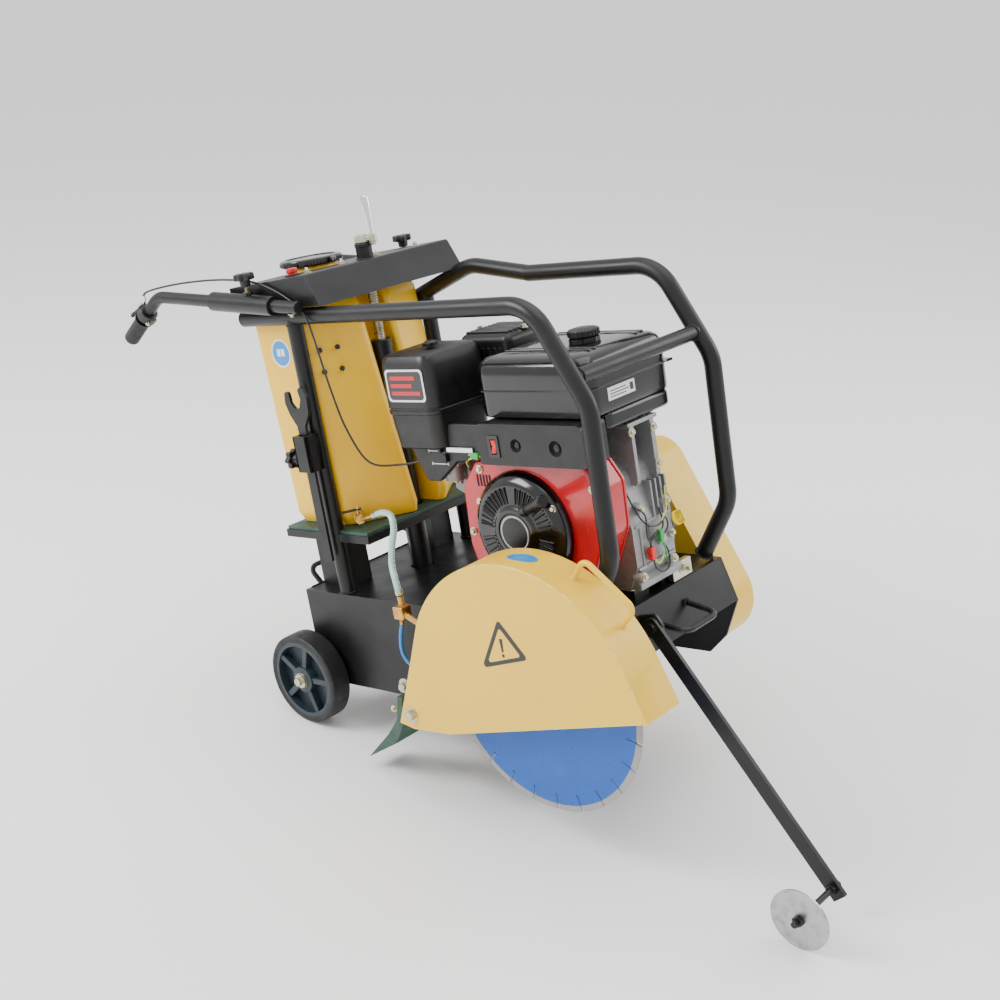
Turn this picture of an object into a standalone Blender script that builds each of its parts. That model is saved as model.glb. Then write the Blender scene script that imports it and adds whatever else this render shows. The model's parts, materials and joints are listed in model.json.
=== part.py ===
"""Walk-behind concrete saw, standing raised on its lowered front wheels with the nose tilted up.

Every piece is drawn in the chassis frame and hangs on one empty that carries the tilt. In that frame u runs
forward, v to the left and w up, the origin is the middle of the rear axle, and v = 0 is the centre plane.
"""

import math

import bmesh
import bpy
from mathutils import Matrix, Vector

for old in list(bpy.data.objects):
    bpy.data.objects.remove(old, do_unlink=True)

# ---- driving dimensions, in metres and degrees ----
GAP = 0.0003                       # clearance between pieces that touch
PITCH = math.radians(12.5)         # nose-up tilt in the raised position
ORIGIN_X = -0.3401                 # rear axle, measured from the middle of the whole machine
ORIGIN_Y = 0.0

REAR_WHEEL_R = 0.100
REAR_WHEEL_W = 0.050
TRACK_HALF = 0.241                 # rear wheel middle from the centre plane
FRONT_WHEEL_R = 0.075
FRONT_WHEEL_W = 0.045
FRONT_TRACK_HALF = 0.100
FRONT_AXLE_X = 0.550               # along the ground, from the rear axle

HULL_HALF = 0.206                  # base frame half width
HULL_TOP = 0.188
HULL_BOTTOM = -0.021
SHEET = 0.004
NOSE_TOP = (0.800, HULL_TOP)
NOSE_TIP = (0.828, 0.100)

TUBE_R = 0.017
TUBE_V = 0.189                     # roll tube plane, left and right
RAIL_W = 0.779
POST_U = 0.120

SHAFT = (0.701, 0.073)             # arbor axis in u, w
CRANK = (0.608, 0.345)             # engine crankshaft axis in u, w
BLADE_R = 0.230
BLADE_T = 0.0032
BLADE_V = -0.269
ARBOR_R = 0.0125

GUARD_C = (0.693, 0.067)           # centre of the guard's round back
GUARD_R = 0.275
GUARD_FRONT_V = -0.316
GUARD_BACK_V = -0.222
GUARD_PIVOT = (0.392, 0.004)
GUARD_SHEET = 0.003

BELT_V = 0.258                     # middle of the belt
BELT_W = 0.026
BLADE_PULLEY_R = 0.064
ENGINE_PULLEY_R = 0.048
BELT_COVER_V = (0.2085, 0.316)
BELT_COVER_LOW_R = 0.092
BELT_COVER_TOP_R = 0.060

SWING_PIVOT = (0.262, 0.000)
LEVER_L = 0.110                    # rear lever of the swing frame
LEVER_REST = math.radians(163)
LIFT_U = SWING_PIVOT[0] + LEVER_L * math.cos(LEVER_REST)
BUSH_TOP = 0.893
STOP_SWITCH = ((0.0950, -0.1700, 0.8540), (0.1190, -0.1460, 0.8720))

SPANNER_U = 0.125
SPANNER_V = -0.2245

SLEEVE_V = 0.227                   # handlebar sleeves
SLEEVE_FRONT = Vector((0.114, 0.0, 0.8085))
BAR_TILT = math.radians(5.0)
BAR_R = 0.013
SLEEVE_R = 0.020
KNOB_SCREW = 0.016                 # bare length of a clamp knob's screw

GUIDE_PIVOT = (0.841, 0.156)
GUIDE_V = -0.090                   # middle plane of the guide arm
GUIDE_ARM_L = 0.557
GUIDE_DISC_V = -0.206
GUIDE_DISC_R = 0.057

ACROSS = (math.pi / 2, 0.0, 0.0)   # turns a local Z axis to -v, with local X to u and local Y to w

model = bpy.data.collections.new("walk_behind_concrete_saw")
cutters = bpy.data.collections.new("cutters")
for group in (model, cutters):
    bpy.context.scene.collection.children.link(group)

chassis = bpy.data.objects.new("chassis_frame", None)
chassis.location = (ORIGIN_X, ORIGIN_Y, REAR_WHEEL_R)
chassis.rotation_euler = (0.0, -PITCH, 0.0)
model.objects.link(chassis)


# ---- materials ----
def material(name, colour, roughness, metallic=0.0):
    """A plain Principled material."""
    mat = bpy.data.materials.new(name)
    mat.use_nodes = True
    shader = mat.node_tree.nodes["Principled BSDF"]
    shader.inputs["Base Color"].default_value = (*colour, 1.0)
    shader.inputs["Roughness"].default_value = roughness
    shader.inputs["Metallic"].default_value = metallic
    mat.diffuse_color = (*colour, 1.0)
    return mat


BLACK_PAINT = material("black_paint", (0.020, 0.021, 0.024), 0.45)
YELLOW_PAINT = material("yellow_paint", (0.80, 0.50, 0.07), 0.35)
YELLOW_PLASTIC = material("yellow_plastic", (0.86, 0.56, 0.04), 0.40)
BLACK_PLASTIC = material("black_plastic", (0.018, 0.018, 0.020), 0.40)
GLOSS_BLACK = material("gloss_black", (0.008, 0.008, 0.009), 0.15)
RED_PAINT = material("red_paint", (0.50, 0.010, 0.015), 0.25)
RED_PLASTIC = material("red_plastic", (0.60, 0.012, 0.012), 0.30)
CAST_ALUMINIUM = material("cast_aluminium", (0.50, 0.50, 0.50), 0.45, 0.9)
STEEL = material("steel", (0.45, 0.45, 0.46), 0.35, 1.0)
ZINC = material("zinc", (0.62, 0.60, 0.52), 0.30, 1.0)
CHROME = material("chrome", (0.80, 0.80, 0.80), 0.08, 1.0)
BRASS = material("brass", (0.70, 0.45, 0.12), 0.30, 1.0)
TYRE_RUBBER = material("tyre_rubber", (0.015, 0.015, 0.016), 0.60)
RUBBER = material("rubber", (0.03, 0.07, 0.05), 0.70)
BLADE_BLUE = material("blade_blue", (0.015, 0.12, 0.42), 0.35)
HOSE = material("hose", (0.35, 0.65, 0.62), 0.25)
YELLOW_CAP = material("yellow_cap", (0.85, 0.70, 0.02), 0.35)


# ---- outlines ----
def arc(centre, radius, start, end, steps):
    """Points on a circle from one angle to another, in degrees."""
    angles = [math.radians(start + (end - start) * i / steps) for i in range(steps + 1)]
    return [(centre[0] + radius * math.cos(a), centre[1] + radius * math.sin(a)) for a in angles]


def circle(centre, radius, steps=24):
    """A closed ring of points."""
    return arc(centre, radius, 0, 360, steps)[:-1]


def fillet(points, radius, steps=5, closed=True):
    """Round the corners of a line of 2D or 3D points with arcs of one radius, or one radius per corner."""
    pts = [Vector((*p, 0.0)) if len(p) == 2 else Vector(p) for p in points]
    radii = list(radius) if hasattr(radius, "__len__") else [radius] * len(pts)
    out = []
    for i, corner in enumerate(pts):
        if not closed and i in (0, len(pts) - 1) or radii[i] == 0:
            out.append(corner)
            continue
        before = (pts[i - 1] - corner).normalized()
        after = (pts[(i + 1) % len(pts)] - corner).normalized()
        opening = before.angle(after)
        if opening > math.pi - 0.01:
            out.append(corner)
            continue
        reach = radii[i] / math.tan(opening / 2)
        middle = corner + (before + after).normalized() * radii[i] / math.sin(opening / 2)
        first, last = corner + before * reach - middle, corner + after * reach - middle
        turn = first.angle(last)
        for k in range(steps + 1):
            t = k / steps
            blend = first * math.sin((1 - t) * turn) + last * math.sin(t * turn)
            out.append(middle + blend / math.sin(turn))
    return [tuple(p) for p in out] if len(points[0]) == 3 else [(p.x, p.y) for p in out]


def two_circle_outline(low, low_r, top, top_r, steps=12):
    """The outline of a band stretched round two circles."""
    a, b = Vector(low), Vector(top)
    along = math.degrees(math.atan2(b.y - a.y, b.x - a.x))
    lean = math.degrees(math.asin((low_r - top_r) / (b - a).length))
    side = 90 - lean
    return (arc(top, top_r, along - side, along + side, steps)
            + arc(low, low_r, along + side, along + 360 - side, steps + 6))


# ---- solids ----
def place(name, data, mat, at=(0, 0, 0), turn=(0, 0, 0), parent=None, group=None):
    """Put mesh or curve data into the scene as a named object."""
    obj = bpy.data.objects.new(name, data)
    obj.location = at
    obj.rotation_euler = turn
    obj.parent = parent or chassis
    (group or model).objects.link(obj)
    if mat:
        data.materials.append(mat)
    if isinstance(data, bpy.types.Mesh):
        data.shade_smooth()
        data.set_sharp_from_angle(angle=math.radians(30))
    return obj


def mesh_of(build):
    """A mesh made by a function that fills a bmesh."""
    bm = bmesh.new()
    build(bm)
    data = bpy.data.meshes.new("shape")
    bm.to_mesh(data)
    bm.free()
    return data


def box(name, low, high, mat, bevel=0.0, at=None, turn=(0, 0, 0), group=None):
    """A box between two corners of the chassis frame, its origin at its middle or at a given point."""
    low, high = Vector(low), Vector(high)
    centre = (low + high) / 2
    origin = Vector(at) if at is not None else centre

    def build(bm):
        size = high - low
        shift = Matrix.Translation(centre - origin) @ Matrix.Diagonal((*size, 1.0))
        bmesh.ops.create_cube(bm, size=1.0, matrix=shift)

    obj = place(name, mesh_of(build), mat, origin, turn, group=group)
    if bevel:
        rounding = obj.modifiers.new("rounding", "BEVEL")
        rounding.width = bevel
        rounding.segments = 2
    return obj


def rod(name, start, end, radius, mat, sides=20, end_radius=None, group=None):
    """A cylinder or cone between two points, its origin at the first."""
    start, end = Vector(start), Vector(end)
    axis = end - start
    r2 = radius if end_radius is None else end_radius

    def build(bm):
        bmesh.ops.create_cone(bm, cap_ends=True, segments=sides, radius1=radius, radius2=r2,
                              depth=axis.length, matrix=Matrix.Translation((0, 0, axis.length / 2)))

    turn = Vector((0, 0, 1)).rotation_difference(axis).to_euler()
    return place(name, mesh_of(build), mat, start, turn, group=group)


def across(name, centre, v0, v1, radius, mat, sides=24, group=None):
    """A cylinder along v round a point of the u, w plane."""
    return rod(name, (centre[0], v0, centre[1]), (centre[0], v1, centre[1]), radius, mat, sides, group=group)


def curve_data(name, loops, cyclic, dimensions):
    """A curve of straight pieces through the given points."""
    data = bpy.data.curves.new(name, "CURVE")
    data.dimensions = dimensions
    for loop in loops:
        spline = data.splines.new("POLY")
        spline.points.add(len(loop) - 1)
        for point, co in zip(spline.points, loop):
            point.co = (*co, 1.0) if len(co) == 3 else (*co, 0.0, 1.0)
        spline.use_cyclic_u = cyclic
    return data


def plate(name, outline, v0, v1, mat, holes=(), at=(0.0, 0.0), group=None, turn=ACROSS):
    """A flat sheet between two v planes, its outline in u, w and its origin at a given u, w."""
    loops = [[(p[0] - at[0], p[1] - at[1]) for p in loop] for loop in (outline, *holes)]
    data = curve_data(name, loops, True, "2D")
    data.fill_mode = "BOTH"
    data.extrude = abs(v1 - v0) / 2
    return place(name, data, mat, (at[0], (v0 + v1) / 2, at[1]), turn, group=group)


def slab(name, outline, w0, w1, mat, holes=()):
    """A flat sheet between two heights, its outline in u, v."""
    data = curve_data(name, [outline, *holes], True, "2D")
    data.fill_mode = "BOTH"
    data.extrude = (w1 - w0) / 2
    return place(name, data, mat, (0, 0, (w0 + w1) / 2))


def pipe(name, points, radius, mat, resolution=3, at=(0, 0, 0)):
    """A round bar along a line of 3D points, with filled ends."""
    origin = Vector(at)
    data = curve_data(name, [[tuple(Vector(p) - origin) for p in points]], False, "3D")
    data.bevel_depth = radius
    data.bevel_resolution = resolution
    data.use_fill_caps = True
    return place(name, data, mat, at)


def lathe(name, profile, at, turn, mat, steps=32, spin=0.0):
    """A turned piece: a profile of (radius, height) from its outer top downwards, spun about local Z."""
    def build(bm):
        points = [bm.verts.new((r, 0, z)) for r, z in profile]
        for a, b in zip(points, points[1:]):
            bm.edges.new((a, b))

    obj = place(name, mesh_of(build), mat, at, turn)
    obj.rotation_euler.rotate_axis("Z", spin)
    screw = obj.modifiers.new("turn", "SCREW")
    screw.steps = screw.render_steps = steps
    screw.use_merge_vertices = True
    screw.merge_threshold = 0.00005
    screw.use_smooth_shade = True
    return obj


def solid(obj):
    """Turn a curve object into a closed mesh object with the same name and place."""
    name = obj.name
    evaluated = obj.evaluated_get(bpy.context.evaluated_depsgraph_get())
    data = bpy.data.meshes.new_from_object(evaluated)
    bm = bmesh.new()
    bm.from_mesh(data)
    bmesh.ops.remove_doubles(bm, verts=bm.verts, dist=0.00002)
    bmesh.ops.recalc_face_normals(bm, faces=bm.faces)
    bm.to_mesh(data)
    bm.free()
    group = obj.users_collection[0]
    parent, location, turn = obj.parent, obj.location.copy(), obj.rotation_euler.copy()
    bpy.data.objects.remove(obj)
    made = bpy.data.objects.new(name, data)
    made.parent, made.location, made.rotation_euler = parent, location, turn
    group.objects.link(made)
    return made


def combine(target, operation, *others):
    """Join other objects to a target, or cut them from it, and keep the result as the target's modifiers."""
    for other in others:
        if other.type == "CURVE":
            other = solid(other)
        for group in other.users_collection:
            group.objects.unlink(other)
        cutters.objects.link(other)
        other.hide_render = True
        other.display_type = "WIRE"
        step = target.modifiers.new(operation.lower(), "BOOLEAN")
        step.operation = operation
        step.solver = "EXACT"
        step.object = other
    return target


def join(target, *others):
    return combine(target, "UNION", *others)


def cut(target, *others):
    return combine(target, "DIFFERENCE", *others)


def mirrored(points):
    """An outline in u, v completed by its mirror image in v."""
    return points + [(u, -v) for u, v in reversed(points)]


# ---- base frame ----
def base_frame():
    """Folded sheet box, open below, with a sloped nose, axle lobes, engine rails and tie bars."""
    lobe = [(-0.022, 0.016), (-0.022, -0.013), (-0.012, HULL_BOTTOM)]
    outline = [(0.0, HULL_TOP), (0.0, 0.034), *lobe, (0.745, HULL_BOTTOM), (0.790, 0.020), NOSE_TIP,
               NOSE_TOP]
    holes = [circle((0, 0), 0.0105, 16), circle(SHAFT, 0.016, 20)]
    hull = solid(plate("base_frame", outline, -HULL_HALF, SHEET - HULL_HALF, BLACK_PAINT, holes))
    left = plate("left_side", outline, HULL_HALF - SHEET, HULL_HALF, None, holes)
    lap = HULL_HALF - 0.001
    deck = box("deck", (0.0002, -lap, HULL_TOP - SHEET), (NOSE_TOP[0] - 0.001, lap, HULL_TOP - 0.0001), None)
    rear = box("rear_sheet", (0.0005, -lap, 0.036), (0.0005 + SHEET, lap, HULL_TOP - 0.001), None)
    top_u, top_w = NOSE_TOP
    tip_u, tip_w = NOSE_TIP
    face = [(top_u - 0.0002, top_w - 0.0004), (tip_u - 0.0002, tip_w), (tip_u - 0.0062, tip_w + 0.001),
            (top_u - 0.0052, top_w - 0.0036)]
    nose = plate("nose_sheet", face, -lap, lap, None)
    join(hull, left, deck, rear, nose)
    cut(hull, rod("lift_hole", (LIFT_U, 0, 0.15), (LIFT_U, 0, 0.22), 0.026, None, 24))
    rails = [box("engine_rail", (0.470, v - 0.022, HULL_TOP - 0.002), (0.778, v + 0.022, 0.2080), None)
             for v in (-0.030, 0.055)]
    return join(hull, *rails, *tie_bars(), guide_bracket())


def tie_bars():
    """Bent round bars for lifting and tying down: one behind the tank, one on the nose."""
    rear = [(0.0025, -0.150, 0.165), (-0.045, -0.150, 0.215), (-0.045, 0.150, 0.215), (0.0025, 0.150, 0.165)]
    front = [(0.8100, -0.050, 0.150), (0.885, -0.050, 0.135), (0.885, 0.055, 0.135), (0.8100, 0.055, 0.150)]
    return [pipe("tie_bar", fillet(line, 0.021, 4, closed=False), 0.006, None, 2) for line in (rear, front)]


def guide_bracket():
    """Lug on the nose that carries the guide arm."""
    lug = [(0.8025, 0.172), (0.846, 0.180), (0.862, 0.156), (0.846, 0.130), (0.8150, 0.132)]
    outline = fillet(lug, (0, 0.01, 0.012, 0.01, 0), 3)
    return plate("guide_bracket", outline, GUIDE_V + 0.0043, GUIDE_V + 0.0103, None,
                 [circle(GUIDE_PIVOT, 0.0060, 16)])


def brace_line():
    """The middle line of the brace that drops from the left rail to the rear."""
    line = [(0.4300, TUBE_V, RAIL_W), (0.27, TUBE_V, 0.805), (0.155, TUBE_V, 0.765), (0.010, TUBE_V, 0.715)]
    return fillet(line, 0.10, 5, closed=False)


def roll_frame():
    """Welded tubes: two bent rails, a cross tube, two rear posts and a brace, with a spanner socket."""
    frames = {}
    for label, v in (("right", -TUBE_V), ("left", TUBE_V)):
        rear_u = -0.034 if v < 0 else 0.4262
        line = [(rear_u, v, RAIL_W), (0.754, v, RAIL_W), (0.852, v, 0.600), (0.848, v, 0.315),
                (0.7715, v, 0.1985)]
        name = "roll_frame" if v < 0 else "left_tube"
        paint = BLACK_PAINT if v < 0 else None
        frames[label] = pipe(name, fillet(line, 0.085, 6, closed=False), TUBE_R, paint)
    brace = pipe("brace_tube", brace_line(), TUBE_R - 0.0002, None)
    cross = rod("cross_tube", (0.8257, -TUBE_V, 0.648), (0.8257, TUBE_V, 0.648), 0.0145, None, 16)
    foot = HULL_TOP + GAP
    post_right = rod("rear_post", (POST_U, -TUBE_V, foot), (POST_U, -TUBE_V, RAIL_W), TUBE_R - 0.0001, None)
    post_left = rod("rear_post", (POST_U, TUBE_V, foot), (POST_U, TUBE_V, 0.750), TUBE_R - 0.0001, None)
    frame = solid(frames["right"])
    join(frame, frames["left"], brace, cross, post_right, post_left)
    socket = box("spanner_socket", (SPANNER_U - 0.020, SPANNER_V - 0.018, 0.466),
                 (SPANNER_U + 0.020, -0.200, 0.542), None)
    slot = box("socket_slot", (SPANNER_U - 0.0145, SPANNER_V - 0.0085, 0.44),
               (SPANNER_U + 0.0145, SPANNER_V + 0.005, 0.56), None)
    return cut(join(frame, socket), slot)


def console():
    """Folded cover plate over the tank, with holes for the cap and the lift bush."""
    outline = [(-0.045, 0.846), (0.196, 0.862), (0.229, 0.800), (0.105, 0.800)]
    inside = [(-0.080, 0.8405), (0.1945, 0.8588), (0.2265, 0.798), (0.225, 0.780), (0.05, 0.780)]
    cover = solid(plate("console", fillet(outline, (0, 0.006, 0, 0), 3), -0.206, 0.206, BLACK_PAINT))
    hollow = solid(plate("console_hollow", inside, -0.203, 0.203, None))
    cut(cover, hollow)
    join(cover, rod("lift_bush", (LIFT_U, 0, 0.8575), (LIFT_U, 0, BUSH_TOP), 0.0175, None, 20))
    bush_hole = rod("bush_hole", (LIFT_U, 0, 0.83), (LIFT_U, 0, 0.93), 0.0120, None, 16)
    neck_hole = rod("neck_hole", (0.020, -0.030, 0.80), (0.020, -0.030, 0.90), 0.0585, None, 32)
    low, high = (Vector(corner) for corner in STOP_SWITCH)
    spare = Vector((0.0006, 0.0006, 0.02))
    cut(cover, box("switch_hole", low - spare, high + spare, None))
    return cut(cover, bush_hole, neck_hole, pipe("brace_notch", brace_line(), TUBE_R + 0.0008, None))


def handle_sleeves():
    """The two tubes welded beside the rails that the handlebars slide in."""
    for label, side in (("right", -1), ("left", 1)):
        start = SLEEVE_FRONT + Vector((0, side * SLEEVE_V, 0))
        end = start + 0.192 * Vector((-math.cos(BAR_TILT), 0, math.sin(BAR_TILT)))
        sleeve = rod("handle_sleeve_" + label, start, end, SLEEVE_R, BLACK_PAINT, 20)
        overshoot = (end - start) * 0.2
        cut(sleeve, rod("sleeve_bore", start - overshoot, end + overshoot, BAR_R + 0.0006, None, 20))


# ---- wheels and lift ----
def turned_to_ground(radius, steps):
    """The vertex radius and the spin that lay a flat facet of a wheel on the ground."""
    return radius / math.cos(math.pi / steps), math.pi / steps - PITCH


def ring_profile(inner, outer, half, lip):
    """A closed ring section with bevelled outer edges, outer side first and downwards."""
    return [(outer, half - lip), (outer, lip - half), (outer - lip, -half), (inner, -half), (inner, half),
            (outer - lip, half), (outer, half - lip)]


def wheels():
    """Four wheels: a black tread on a ribbed nylon hub at the rear, plain rollers in front."""
    steps = 48
    tread_r, spin = turned_to_ground(REAR_WHEEL_R, steps)
    half = REAR_WHEEL_W / 2
    for label, side in (("right", -1), ("left", 1)):
        at = (0, side * TRACK_HALF, 0)
        wheel = [(tread_r, half - 0.004), (tread_r, 0.004 - half), (tread_r - 0.004, -half), (0.079, -half),
                 (0.077, -0.006), (0.032, -0.006), (0.030, -half), (0.0108, -half), (0.0108, half),
                 (0.030, half), (0.032, 0.006), (0.077, 0.006), (0.079, half), (tread_r - 0.004, half),
                 (tread_r, half - 0.004)]
        lathe("wheel_rear_" + label, wheel, at, ACROSS, TYRE_RUBBER, steps, spin)
    steps = 40
    tread_r, spin = turned_to_ground(FRONT_WHEEL_R, steps)
    axle = front_axle()
    for label, side in (("right", -1), ("left", 1)):
        at = (axle[0], side * FRONT_TRACK_HALF, axle[1])
        profile = ring_profile(0.0108, tread_r, FRONT_WHEEL_W / 2, 0.004)
        lathe("wheel_front_" + label, profile, at, ACROSS, TYRE_RUBBER, steps, spin)


def front_axle():
    """Front axle in u, w, from its place on the ground."""
    x, z = FRONT_AXLE_X, FRONT_WHEEL_R - REAR_WHEEL_R
    return (x * math.cos(PITCH) + z * math.sin(PITCH), z * math.cos(PITCH) - x * math.sin(PITCH))


def rear_axle():
    """Axle bar through both sides of the base frame, with a hub cap screw head at each end."""
    end = TRACK_HALF + REAR_WHEEL_W / 2
    axle = across("rear_axle", (0, 0), -end - 0.002, end + 0.002, 0.010, ZINC, 20)
    heads = [across("axle_head", (0, 0), side * (end + GAP), side * (end + 0.0045), 0.016, None, 20)
             for side in (-1, 1)]
    return join(axle, *heads)


def turned_about(centre, x, y, angle):
    """A point given round a centre, turned by an angle."""
    c, s = math.cos(angle), math.sin(angle)
    return (centre[0] + x * c - y * s, centre[1] + x * s + y * c)


def swing_frame():
    """Rocking frame inside the base: pivot tube, two arms to the front axle and a rear lever."""
    axle = front_axle()
    pivot = SWING_PIVOT
    frame = across("swing_frame", pivot, -0.1990, 0.1990, 0.013, BLACK_PAINT, 20)
    run = math.atan2(axle[1] - pivot[1], axle[0] - pivot[0])
    length = math.hypot(axle[0] - pivot[0], axle[1] - pivot[1])
    parts = []
    for side in (-1, 1):
        bar = [(-0.016, -0.012), (length + 0.014, -0.012), (length + 0.014, 0.012), (-0.016, 0.012)]
        turned = [turned_about(pivot, x, y, run) for x, y in bar]
        parts.append(plate("swing_arm", turned, side * 0.052, side * 0.062, None))
    reach = FRONT_TRACK_HALF + FRONT_WHEEL_W / 2 + 0.004
    parts.append(across("front_axle_bar", axle, -reach, reach, 0.010, None, 20))
    lever = [(-0.004, -0.014), (LEVER_L + 0.012, -0.010), (LEVER_L + 0.012, 0.010), (-0.004, 0.014)]
    turned = [turned_about(pivot, x, y, LEVER_REST) for x, y in lever]
    parts.append(plate("lever", turned, -0.006, 0.006, None))
    return join(frame, *parts)


def lift():
    """Screw jack: a sleeve that slides down onto the lever, and a screw with a crank and its grip."""
    sleeve = rod("lift_sleeve", (LIFT_U, 0, 0.058), (LIFT_U, 0, 0.690), 0.022, BLACK_PAINT, 20)
    cut(sleeve, rod("sleeve_well", (LIFT_U, 0, 0.300), (LIFT_U, 0, 0.72), 0.0135, None, 20))
    screw = rod("lift_crank", (LIFT_U, 0, 0.330), (LIFT_U, 0, BUSH_TOP + 0.016), 0.0115, ZINC, 16)
    middle = Vector((LIFT_U, 0, BUSH_TOP + 0.0070))
    hub = rod("crank_hub", (LIFT_U, 0, BUSH_TOP + GAP), (LIFT_U, 0, BUSH_TOP + 0.0130), 0.0170, None, 20)
    tip = middle + Vector((0.026, 0.006, 0.0))
    eye = rod("crank_eye", tip - Vector((0, 0, 0.0070)), tip + Vector((0, 0, 0.0080)), 0.0085, None, 16)
    join(screw, hub, eye, rod("crank_arm", middle, tip, 0.0055, None, 8))
    rod("crank_grip", tip + Vector((0, 0, 0.0084)), tip + Vector((-0.004, 0, 0.086)), 0.0060, CHROME, 16,
        0.0092)


# ---- cutting drive ----
def arbor_housing():
    """Bearing tube with a bolted flange at each side of the base frame."""
    end = HULL_HALF - SHEET - GAP
    housing = across("arbor_housing", SHAFT, -end, end, 0.026, CAST_ALUMINIUM, 24)
    for side in (-1, 1):
        outline = fillet([(-0.055, -0.020), (0.055, -0.020), (0.055, 0.016), (0.026, 0.036), (-0.026, 0.036),
                          (-0.055, 0.016)], 0.006, 2)
        around = [(SHAFT[0] + x, SHAFT[1] + y) for x, y in outline]
        join(housing, plate("flange", around, side * (end - 0.014), side * (end - 0.0001), None))
    return cut(housing, across("arbor_bore", SHAFT, -0.22, 0.22, ARBOR_R + GAP, None, 20))


def arbor():
    """Blade shaft with its inner flange, the blade, the outer flange with its nut, and the pulley."""
    half = BLADE_T / 2
    shaft = across("arbor_shaft", SHAFT, -0.2990, 0.2800, ARBOR_R, STEEL, 20)
    join(shaft, across("inner_flange", SHAFT, BLADE_V + half + GAP, BLADE_V + half + 0.012, 0.050, None, 32))
    bore = circle(SHAFT, ARBOR_R + GAP, 20)
    plate("saw_blade", circle(SHAFT, BLADE_R, 72), BLADE_V - half, BLADE_V + half, BLADE_BLUE, [bore],
          at=SHAFT)
    flange = solid(plate("outer_flange", circle(SHAFT, 0.050, 32), BLADE_V - half - 0.010,
                         BLADE_V - half - GAP, STEEL, at=SHAFT))
    join(flange, across("arbor_nut", SHAFT, BLADE_V - 0.0260, BLADE_V - half - 0.009, 0.021, None, 6))
    cut(flange, across("nut_bore", SHAFT, BLADE_V - 0.04, BLADE_V, ARBOR_R + GAP, None, 20))
    plate("blade_pulley", circle(SHAFT, BLADE_PULLEY_R, 36), BELT_V - 0.020, BELT_V + 0.020, CAST_ALUMINIUM,
          [bore], at=SHAFT)


def engine_output():
    """Crankshaft stub with its pulley, and the belt round both pulleys."""
    stub = across("engine_pulley", CRANK, 0.1775, 0.2860, ARBOR_R, CAST_ALUMINIUM, 20)
    join(stub, across("pulley_disc", CRANK, BELT_V - 0.020, BELT_V + 0.020, ENGINE_PULLEY_R, None, 32))
    thick = 0.009
    inner = two_circle_outline(SHAFT, BLADE_PULLEY_R + GAP, CRANK, ENGINE_PULLEY_R + GAP, 16)
    outer = two_circle_outline(SHAFT, BLADE_PULLEY_R + thick, CRANK, ENGINE_PULLEY_R + thick, 16)
    plate("drive_belt", outer, BELT_V - BELT_W / 2, BELT_V + BELT_W / 2, TYRE_RUBBER, [inner])


def belt_cover():
    """Closed sheet cover over both pulleys, with a hole for each shaft on the machine side."""
    sheet = 0.0025
    v0, v1 = BELT_COVER_V
    outer = two_circle_outline(SHAFT, BELT_COVER_LOW_R, CRANK, BELT_COVER_TOP_R, 14)
    inner = two_circle_outline(SHAFT, BELT_COVER_LOW_R - sheet, CRANK, BELT_COVER_TOP_R - sheet, 14)
    cover = solid(plate("belt_cover", outer, v0, v1, YELLOW_PAINT))
    hollow = solid(plate("cover_hollow", inner, v0 + sheet, v1 - sheet, None))
    holes = [across("cover_hole", at, v0 - 0.01, v0 + 0.01, 0.022, None, 24) for at in (SHAFT, CRANK)]
    return cut(cover, hollow, *holes)


# ---- blade guard ----
def guard_outline(inset=0.0):
    """Round back, straight flanks and a bottom edge that rises to the front."""
    r = GUARD_R - inset
    low_front = (0.982 - inset, 0.082)
    kink = (0.492, -0.021)
    low_rear = (0.353 + inset, -0.019)
    back = arc(GUARD_C, r, 18, 150, 22)
    return [low_front, *back, low_rear, (0.392, -0.026), kink]


def blade_guard():
    """Pressed guard, open below, slotted on the machine side so that it swings clear of the shaft."""
    body = solid(plate("blade_guard", guard_outline(), GUARD_FRONT_V, GUARD_BACK_V, YELLOW_PAINT,
                       at=GUARD_PIVOT))
    inside = guard_outline(GUARD_SHEET)
    deeper = [(u, w - 0.030) if i in (0, *range(len(inside) - 3, len(inside))) else (u, w)
              for i, (u, w) in enumerate(inside)]
    hollow = solid(plate("guard_hollow", deeper, GUARD_FRONT_V + GUARD_SHEET, GUARD_BACK_V - GUARD_SHEET,
                         None))
    slot_u, slot_w = SHAFT
    slot = fillet([(slot_u - 0.056, -0.06), (slot_u + 0.062, -0.06), (slot_u + 0.062, slot_w + 0.060),
                   (slot_u - 0.056, slot_w + 0.060)], (0, 0, 0.055, 0.055), 8)
    opening = solid(plate("guard_slot", slot, GUARD_BACK_V - 0.012, GUARD_BACK_V + 0.01, None))
    cut(body, hollow, opening)
    v = -0.262
    line = [(p[0], v, p[1]) for p in (on_guard(62, -0.001), on_guard(61, 0.047), on_guard(38, 0.047),
                                      on_guard(37, -0.001))]
    return join(body, pipe("guard_handle", fillet(line, 0.016, 4, closed=False), 0.0055, None, 2))


def on_guard(angle, lift):
    """A point on the guard's round back, raised from it by a height."""
    a = math.radians(angle)
    r = GUARD_R + lift
    return (GUARD_C[0] + r * math.cos(a), GUARD_C[1] + r * math.sin(a))


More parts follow.
